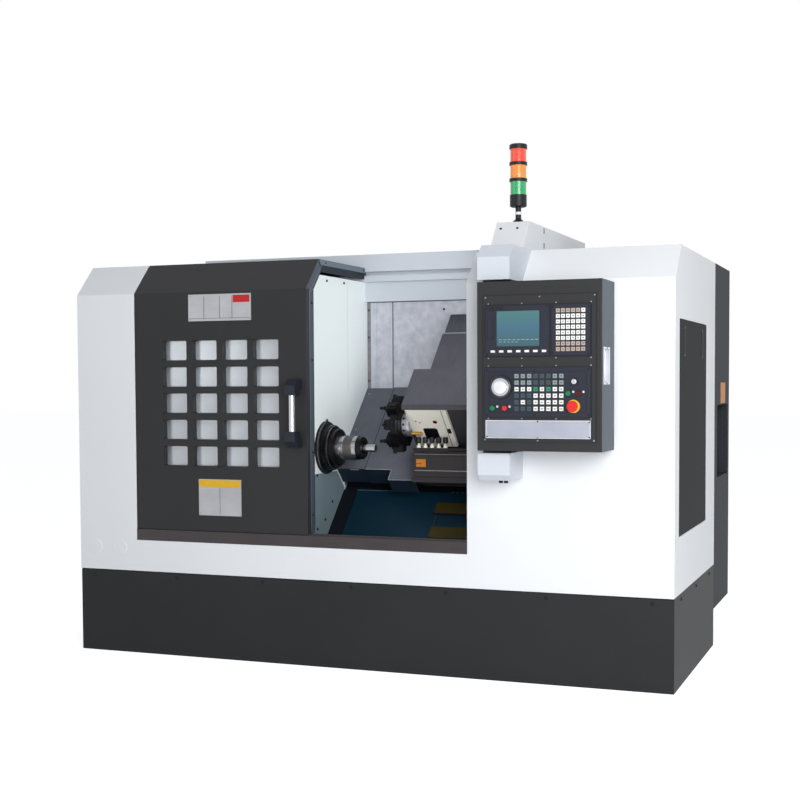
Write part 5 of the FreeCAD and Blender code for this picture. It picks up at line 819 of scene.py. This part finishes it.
# chip pan: a painted shadow strip on the left, a painted highlight along the upper edge, light lips under the
# tray bars
tray = Piece("pan_painted_shadow_highlight_and_lips", "machine", "navy_paint")
tray.slope(1070.4, 1133, 500, 766, 201.2, 205.9, "pan_shadow")
tray.slope(1133, 1400, 763, 767, 205, 206.4, "pan_rim_highlight")
for x in range(1560, 2140, 22):
    tray.slope(x, x + 15, 764, 767, 205, 206, "pan_rim_highlight")
tray.slope(1520, 2130, 517.6, 520, 205, 213.4, "apron")
tray.slope(1513, 2130, 645.6, 648, 205, 213.4, "apron")
tray.slope(1524, 1527, 578, 646, 204.9, 206, "mark")
tray.done()

# way covers: seams, and painted highlights along the front edges
seams = Piece("cover_seams", "carriage", "cover_steel")
seams.slope(1199.4, 1203, 777, 1258, 326.2, 329.1, "mark")
seams.slope(1203, 1323, 776.2, 778.4, 328.4, 329.6, "edge_highlight")
seams.slope(1323, 1432, 720.2, 722.4, 328.4, 329.6, "edge_highlight")
seams.slope(1322, 1324.4, 721, 777, 328.4, 329.6, "edge_highlight")
seams.done()
# painted highlight along the fixed cover's front edge, and the cover's screws
fixed_edge = Piece("fixed_cover_edge", "machine", "cover_steel")
fixed_edge.slope(1133, 1172, 776.2, 778.4, 323.0, 324.4, "edge_highlight")
for s in (800, 1010, 1225):
    pan_screw(fixed_edge, on_slope(1090, s, 323.8), (0, -1, 1), 4.5, "screw")
fixed_edge.done()
# painted highlight along the upper cover's front edge
upper_edge = Piece("upper_cover_edge", "upper_cover", "cover_steel")
upper_edge.slope(1463, 1766, 1360, 1365, 556.6, 558.4, "edge_highlight")
upper_edge.done()

# apron: painted highlights along the ledges, holes, a bare orange patch
apron_bits = Piece("apron_details", "carriage", "apron_steel")
apron_bits.block((1446, 266.6, 850.6), (1766, 268.4, 853.4), "edge_highlight", 0.2)
apron_bits.block((1446, 267.4, 784.2), (1766, 268.6, 786.8), "edge_highlight", 0.2)
apron_bits.block((1453, 267.0, 800), (1495, 268.4, 832), "orange", 0.2)
apron_bits.block((1449, 266.6, 812), (1476, 267.6, 815), "mark", 0)
for x in (1478, 1579, 1680):
    pan_screw(apron_bits, at(x, 274.0, 861), (0, -1, 0), 4.5, "screw_black")
apron_bits.done()

# grips of the five coolant valves
grips = Piece("valve_grips", "cross_carriage", "black_plastic")
for k in range(5):
    grips.lathe(at(1470 + 29 * k, 254, 898), (0, 0, 1), [
        (0, 0), (7.5, 0), (10.2, 3), (10.6, 8), (10.6, 22), (9.4, 25.4), (0, 26)], "black", 24)
grips.done()

# turret housing: panel joint, plugs and a catch
house = Piece("housing_details", "cross_carriage", "cream_paint")
house.slope(1599.4, 1601.4, 839.3, 840.2, 412, 624, "line_dark")
house.slope(1601, 1616, 836.5, 840.4, 492, 516, "black")
house.slope(1450, 1453, 839.5, 840.2, 412, 620, "line_pale")
for x, n in ((1478, 560), (1494, 552)):
    pan_screw(house, on_slope(x, 840, n), (0, -1, -1), 3.6, "screw")
house.slope(1504, 1553, 838.6, 841, 516, 519, "black")
house.done()

# tower lamp: pale band on the stem
band = Piece("lamp_stem_band", "machine", "white_paint")
band.lathe(at(1825, 492, 1838), (0, 0, 1), [(12.2, 0), (12.6, 0.4), (12.6, 11.6), (12.2, 12)], "white", 32)
band.done()

# duct face screws
duct_bits = Piece("duct_screws", "machine", "white_paint")
lean = Vector((0, -(1805 - 1653), 120)).normalized()
for x, k in ((1769, 0.19), (1840, 0.19), (1769, 0.81), (1840, 0.81)):
    y = 330 + 120 * k
    z = 1653 + 152 * k
    pan_screw(duct_bits, at(x, y, z), lean, 5, "screw_black")
duct_bits.done()

# panel of the control box: joints, screws, slot door, collars, key marks
panel = Piece("panel_screws", "operator_box", "bezel_plastic")
for x, z in ((1910, 1453), (2113, 1452), (2314, 1453), (1907, 938), (2106, 936), (2312, 938)):
    pan_screw(panel, at(x, -218, z), (0, -1, 0), 3.2, "screw")
for z in (1430, 1233.5, 1205.5, 1015.5):
    for x in (1921, 2047, 2174, 2301):
        pan_screw(panel, at(x, -218, z), (0, -1, 0), 2.8, "screw")
for x, z in ((1918, 1416), (2142, 1416), (2164, 1416), (2293, 1416), (1918, 1248), (2142, 1250),
             (2164, 1249), (2293, 1250), (1917, 1191), (2099, 1191), (2293, 1191),
             (1917, 1029), (2097, 1029), (2293, 1029)):
    pan_screw(panel, at(x, -224, z), (0, -1, 0), 3.4, "screw_black")
for x, z in ((1915, 949), (2106, 945), (2296, 949), (2106, 1005), (2296, 1003)):
    pan_screw(panel, at(x, -220, z), (0, -1, 0), 3, "screw_black")
panel.frame(1899, 2320, 930, 1461, -218.7, -217.6, 1.8, "black")
panel.frame(1907, 2304, 1237, 1427, -218.9, -217.6, 3, "black")
panel.frame(1907, 2304, 1018, 1202, -218.9, -217.6, 3, "black")
panel.frame(1910, 2152, 1240, 1424, -224.6, -223.7, 1.6, "black")
panel.frame(2157, 2301, 1240, 1424, -224.6, -223.7, 2.2, "black")
panel.frame(1924, 2287, 1037, 1185, -224.7, -223.6, 1.8, "black")
panel.frame(1911, 2300, 944, 1009, -220.9, -219.6, 2.4, "cap_bright")
panel.frame(1918, 1942, 1302, 1379, -225.0, -223.4, 1.4, "black")
panel.block((1919.4, -224.8, 1303.4), (1940.6, -223.4, 1377.6), "bezel", 0.6)
panel.block((1926, -224.7, 1405), (1978, -223.6, 1418), "black", 0.6)
panel.frame(1951, 2117, 1273, 1406, -225.0, -223.4, 2.6, "bezel")
for k in range(9):
    panel.block((1962 + 17 * k, -223.3, 1299), (1973 + 17 * k, -222.8, 1300.8), "glass_dash", 0)
for k in range(5):
    panel.block((1964 + 15 * k, -223.3, 1291), (1973 + 15 * k, -222.8, 1292.6), "glass_dash", 0)
panel.done()

rings = Piece("button_rings", "operator_box", "wheel_metal")
rings.lathe(at(2240, -224, 1060), (0, -1, 0), [
    (11, 0), (24, 0), (24.4, 1.2), (23.6, 9), (20, 10), (11, 10)], "yellow", 40)
for x, z in ((1940, 1053), (1986, 1053), (2222, 1106), (2259, 1106)):
    rings.lathe(at(x, -224, z), (0, -1, 0), [
        (9.5, 0), (11.8, 0), (11.8, 1.2), (11.2, 1.8), (9.9, 1.8), (9.5, 1.2)], "wheel_ring", 28)
    rings.block((x + 13, -225.0, z + 2), (x + 20, -223.6, z + 9), "cap_bright", 0.4)
rings.lathe(at(2243, -224, 1148), (0, -1, 0), [
    (9.4, 0), (14, 0), (13.5, 2.6), (10, 3.0), (9.4, 1.8)], "black", 28)
rings.done()

# bright rim and cap of the handwheel
wheel = Piece("wheel_trim", "handwheel", "wheel_metal")
wheel.lathe(at(1972, -239.0, 1129), (0, -1, 0), [
    (33, -0.4), (38.4, -0.4), (38.6, 1.0), (36.8, 2.2), (34.4, 2.2), (33, 1.0)], "wheel_ring", 64)
wheel.lathe(at(1972, -239.0, 1129), (0, -1, 0), [
    (24, -0.4), (33, -0.4), (33, 1.2), (31.4, 2.6), (25.6, 2.6), (24, 1.2)], "alu", 64)
wheel.lathe(at(1972, -246.0, 1129), (0, -1, 0), [
    (23.6, -0.4), (23.4, 1.0), (21, 2.6), (16, 3.6), (8, 4.2), (0, 4.4)], "cap_bright", 56)
for k in range(40):
    a = 2 * math.pi * k / 40
    wheel.lathe(
        at(1972 + 40 * math.cos(a), -231, 1129 + 40 * math.sin(a)), (0, -1, 0),
        [(0, -4), (0.9, -4), (0.9, 6), (0, 6)], "mark", 6)
wheel.done()

marks = Piece("key_marks", "operator_box", "bezel_plastic")
for row in range(6):
    for column in range(8):
        x = 2022 + 23.7 * column
        z = 1176 - 23.5 * row
        marks.block((x + 4, -227.25, z - 9.2), (x + 11, -226.9, z - 6.2), "mark", 0)
for row in range(8):
    for column in range(6):
        x = 2176 + 18.4 * column
        z = 1408 - 19.6 * row
        marks.block((x + 4.5, -227.25, z - 8.4), (x + 9.5, -226.9, z - 5.6), "mark", 0)
marks.done()

# recessed pull: bright rounded plate round the pocket in the box side
pull = Piece("pull_lip", "operator_box", "wheel_metal")
for y0, y1, z0, z1 in ((-192, -185.4, 1137, 1271), (-100.6, -94, 1137, 1271),
                       (-185.4, -100.6, 1137, 1143.6), (-185.4, -100.6, 1264.4, 1271)):
    pull.block((2339.8, y0, z0), (2341.8, y1, z1), "cap_bright", 0.6)
for z in (1140.4, 1267.6):
    pan_screw(pull, at(2341.8, -143, z), (1, 0, 0), 3, "screw_black")
pull.done()

# right end of the open door: painted highlights on the joint line and the roof strip, black seal, screws
end = Piece("door_end_lines", "door", "dark_paint")
end.block((1085.6, 29.4, 550), (1086.7, 33.6, 1512), "return_highlight", 0.2)
end.prism(1085.6, 1086.7, [(29.4, 1512), (33.6, 1510), (150, 1626), (147, 1629)], "return_highlight")
end.block((1085.6, 65.6, 550), (1086.6, 69.8, 1524), "black", 0.2)
end.prism(1085.6, 1086.6, [(65.6, 1526), (69.8, 1525), (143.5, 1603.2), (141, 1606.4)], "black")
end.prism(1085.7, 1086.8, [(127, 1652), (616, 1652), (616, 1630), (141, 1630)], "return_highlight")
for y in (190, 585):
    pan_screw(end, at(1086.6, y, 1641), (1, 0, 0), 4.4, "screw_black")
for z in (610, 866, 1240, 1470):
    pan_screw(end, at(1086.4, 52, z), (1, 0, 0), 5, "screw_black")
end.done()

# cabinet side: plain orange patch, connectors in the recess
side = Piece("cabinet_patch", "machine", "lens_plastic")
side.block((2559.5, 1160, 1048), (2561.2, 1300, 1140), "orange", 0.4)
side.done()
plugs = Piece("recess_sockets", "machine", "wheel_metal")
for z in (785, 845):
    plugs.lathe(at(2500, 1118, z), (1, 0, 0), [
        (0, -1), (26, -1), (26, 5), (22, 6), (22, 24), (20, 26), (17, 26), (16, 12), (0, 12)],
        "cap_bright", 32)
plugs.done()
backs = Piece("slot_backs", "machine", "dark_paint")
for y in FINGER_SLOTS_Y:
    backs.block((2549.6, y - 16, 1240), (2552.2, y + 16, 1354), "black", 0.2)
    for a, b in ((-15, -8), (8, 15)):
        backs.block((2559.6, y + a, 1246), (2561.4, y + b, 1348), "black", 0.5)
    for z in (1241, 1346):
        backs.block((2559.6, y - 11, z), (2561.4, y + 11, z + 7), "black", 0.5)
backs.done()


# ---------------------------------------------------------------- stage
def seen_by_lens(nt):
    """1 for camera, glossy and transmission rays, 0 for the light that bounces."""
    path = nt.nodes.new("ShaderNodeLightPath")
    total = path.outputs["Is Camera Ray"]
    for kind in ("Is Glossy Ray", "Is Transmission Ray"):
        add = nt.nodes.new("ShaderNodeMath")
        add.operation = "MAXIMUM"
        nt.links.new(total, add.inputs[0])
        nt.links.new(path.outputs[kind], add.inputs[1])
        total = add.outputs[0]
    return total


def stage_material(name, col, glow):
    """A pale floor that takes the shadow and is lifted to white where it is seen."""
    m = bpy.data.materials.new(name)
    m.use_nodes = True
    nt = m.node_tree
    nt.nodes.clear()
    out = nt.nodes.new("ShaderNodeOutputMaterial")
    diffuse = nt.nodes.new("ShaderNodeBsdfDiffuse")
    diffuse.inputs["Color"].default_value = (*col, 1)
    light = nt.nodes.new("ShaderNodeEmission")
    level = nt.nodes.new("ShaderNodeMath")
    level.operation = "MULTIPLY"
    level.inputs[1].default_value = glow
    nt.links.new(seen_by_lens(nt), level.inputs[0])
    nt.links.new(level.outputs[0], light.inputs["Strength"])
    add = nt.nodes.new("ShaderNodeAddShader")
    nt.links.new(diffuse.outputs["BSDF"], add.inputs[0])
    nt.links.new(light.outputs["Emission"], add.inputs[1])
    nt.links.new(add.outputs["Shader"], out.inputs["Surface"])
    return m


floor_mesh = bpy.data.meshes.new("studio_floor")
fb = bmesh.new()
bmesh.ops.create_grid(fb, x_segments=1, y_segments=1, size=40)
fb.to_mesh(floor_mesh)
fb.free()
floor_mesh.materials.append(stage_material("floor_white", (0.8, 0.8, 0.8), 0.74))
floor = bpy.data.objects.new("studio_floor", floor_mesh)
floor.location.z = -0.0005
bpy.context.scene.collection.objects.link(floor)

world = bpy.data.worlds.new("studio")
bpy.context.scene.world = world
world.use_nodes = True
wt = world.node_tree
wt.nodes.clear()
w_out = wt.nodes.new("ShaderNodeOutputWorld")
w_soft = wt.nodes.new("ShaderNodeBackground")
w_soft.inputs["Color"].default_value = (0.93, 0.965, 1.0, 1)
w_soft.inputs["Strength"].default_value = 0.33
w_white = wt.nodes.new("ShaderNodeBackground")
w_white.inputs["Color"].default_value = (1, 1, 1, 1)
w_white.inputs["Strength"].default_value = 1.0
w_mix = wt.nodes.new("ShaderNodeMixShader")
wt.links.new(seen_by_lens(wt), w_mix.inputs["Fac"])
wt.links.new(w_soft.outputs["Background"], w_mix.inputs[1])
wt.links.new(w_white.outputs["Background"], w_mix.inputs[2])
wt.links.new(w_mix.outputs["Shader"], w_out.inputs["Surface"])


def area_lamp(name, where, target, size, power, colour=(1, 1, 1)):
    light = bpy.data.lights.new(name, "AREA")
    light.shape = "RECTANGLE"
    light.size, light.size_y = size
    light.energy = power
    light.color = colour
    obj = bpy.data.objects.new(name, light)
    obj.location = where
    obj.rotation_mode = "QUATERNION"
    obj.rotation_quaternion = (Vector(target) - Vector(where)).to_track_quat("-Z", "Y")
    bpy.context.scene.collection.objects.link(obj)
    return obj


area_lamp("key_lamp", (2.7, -4.0, 1.7), (0.6, 0, 1.0), (2.4, 2.0), 141)
area_lamp("fill_lamp", (-4.5, -4.5, 2.6), (-0.6, 0, 0.9), (3.5, 3.0), 24, (0.95, 0.98, 1.0))
area_lamp("top_lamp", (0.4, 0.4, 5.6), (0.2, 0, 1.0), (4.5, 3.5), 14)
area_lamp("side_lamp", (5.5, 1.6, 2.6), (1.2, 0.4, 1.0), (3.0, 3.0), 10)
# stands behind the fixed panel, out of the lens's sight; it isn't part of the machine
area_lamp("chamber_lamp", at(2080, 300, 1420), at(1090, 330, 1060), (0.4, 0.3), 2.3)

# the photograph's camera: focal length and picture width in pixels, place in mm, turns in degrees
FOCAL_PIXELS, PICTURE_PIXELS, SENSOR_MM = 1327.6, 800, 36.0
CAMERA_PLACE = (3396.9, -4829.0, 1150.7)
CAMERA_YAW, CAMERA_PITCH, CAMERA_ROLL = 20.77, -2.60, -0.261

cam_data = bpy.data.cameras.new("photo_camera")
cam = bpy.data.objects.new("photo_camera", cam_data)
bpy.context.scene.collection.objects.link(cam)
cam_data.sensor_width = SENSOR_MM
cam_data.sensor_fit = "AUTO"
cam_data.lens = FOCAL_PIXELS * SENSOR_MM / PICTURE_PIXELS
cam_data.shift_x = -0.02325
cam_data.shift_y = 0.05225
cam_data.clip_start, cam_data.clip_end = 0.1, 100
yaw, pitch, roll = (math.radians(turn) for turn in (CAMERA_YAW, CAMERA_PITCH, CAMERA_ROLL))
look = Vector((-math.sin(yaw) * math.cos(pitch), math.cos(yaw) * math.cos(pitch), math.sin(pitch)))
cam.location = at(*CAMERA_PLACE)
cam.rotation_mode = "QUATERNION"
cam.rotation_quaternion = (
    look.to_track_quat("-Z", "Y").to_matrix() @ Matrix.Rotation(roll, 3, "Z")).to_quaternion()
bpy.context.scene.camera = cam
bpy.context.scene.view_settings.view_transform = "Standard"

bpy.context.view_layer.update()
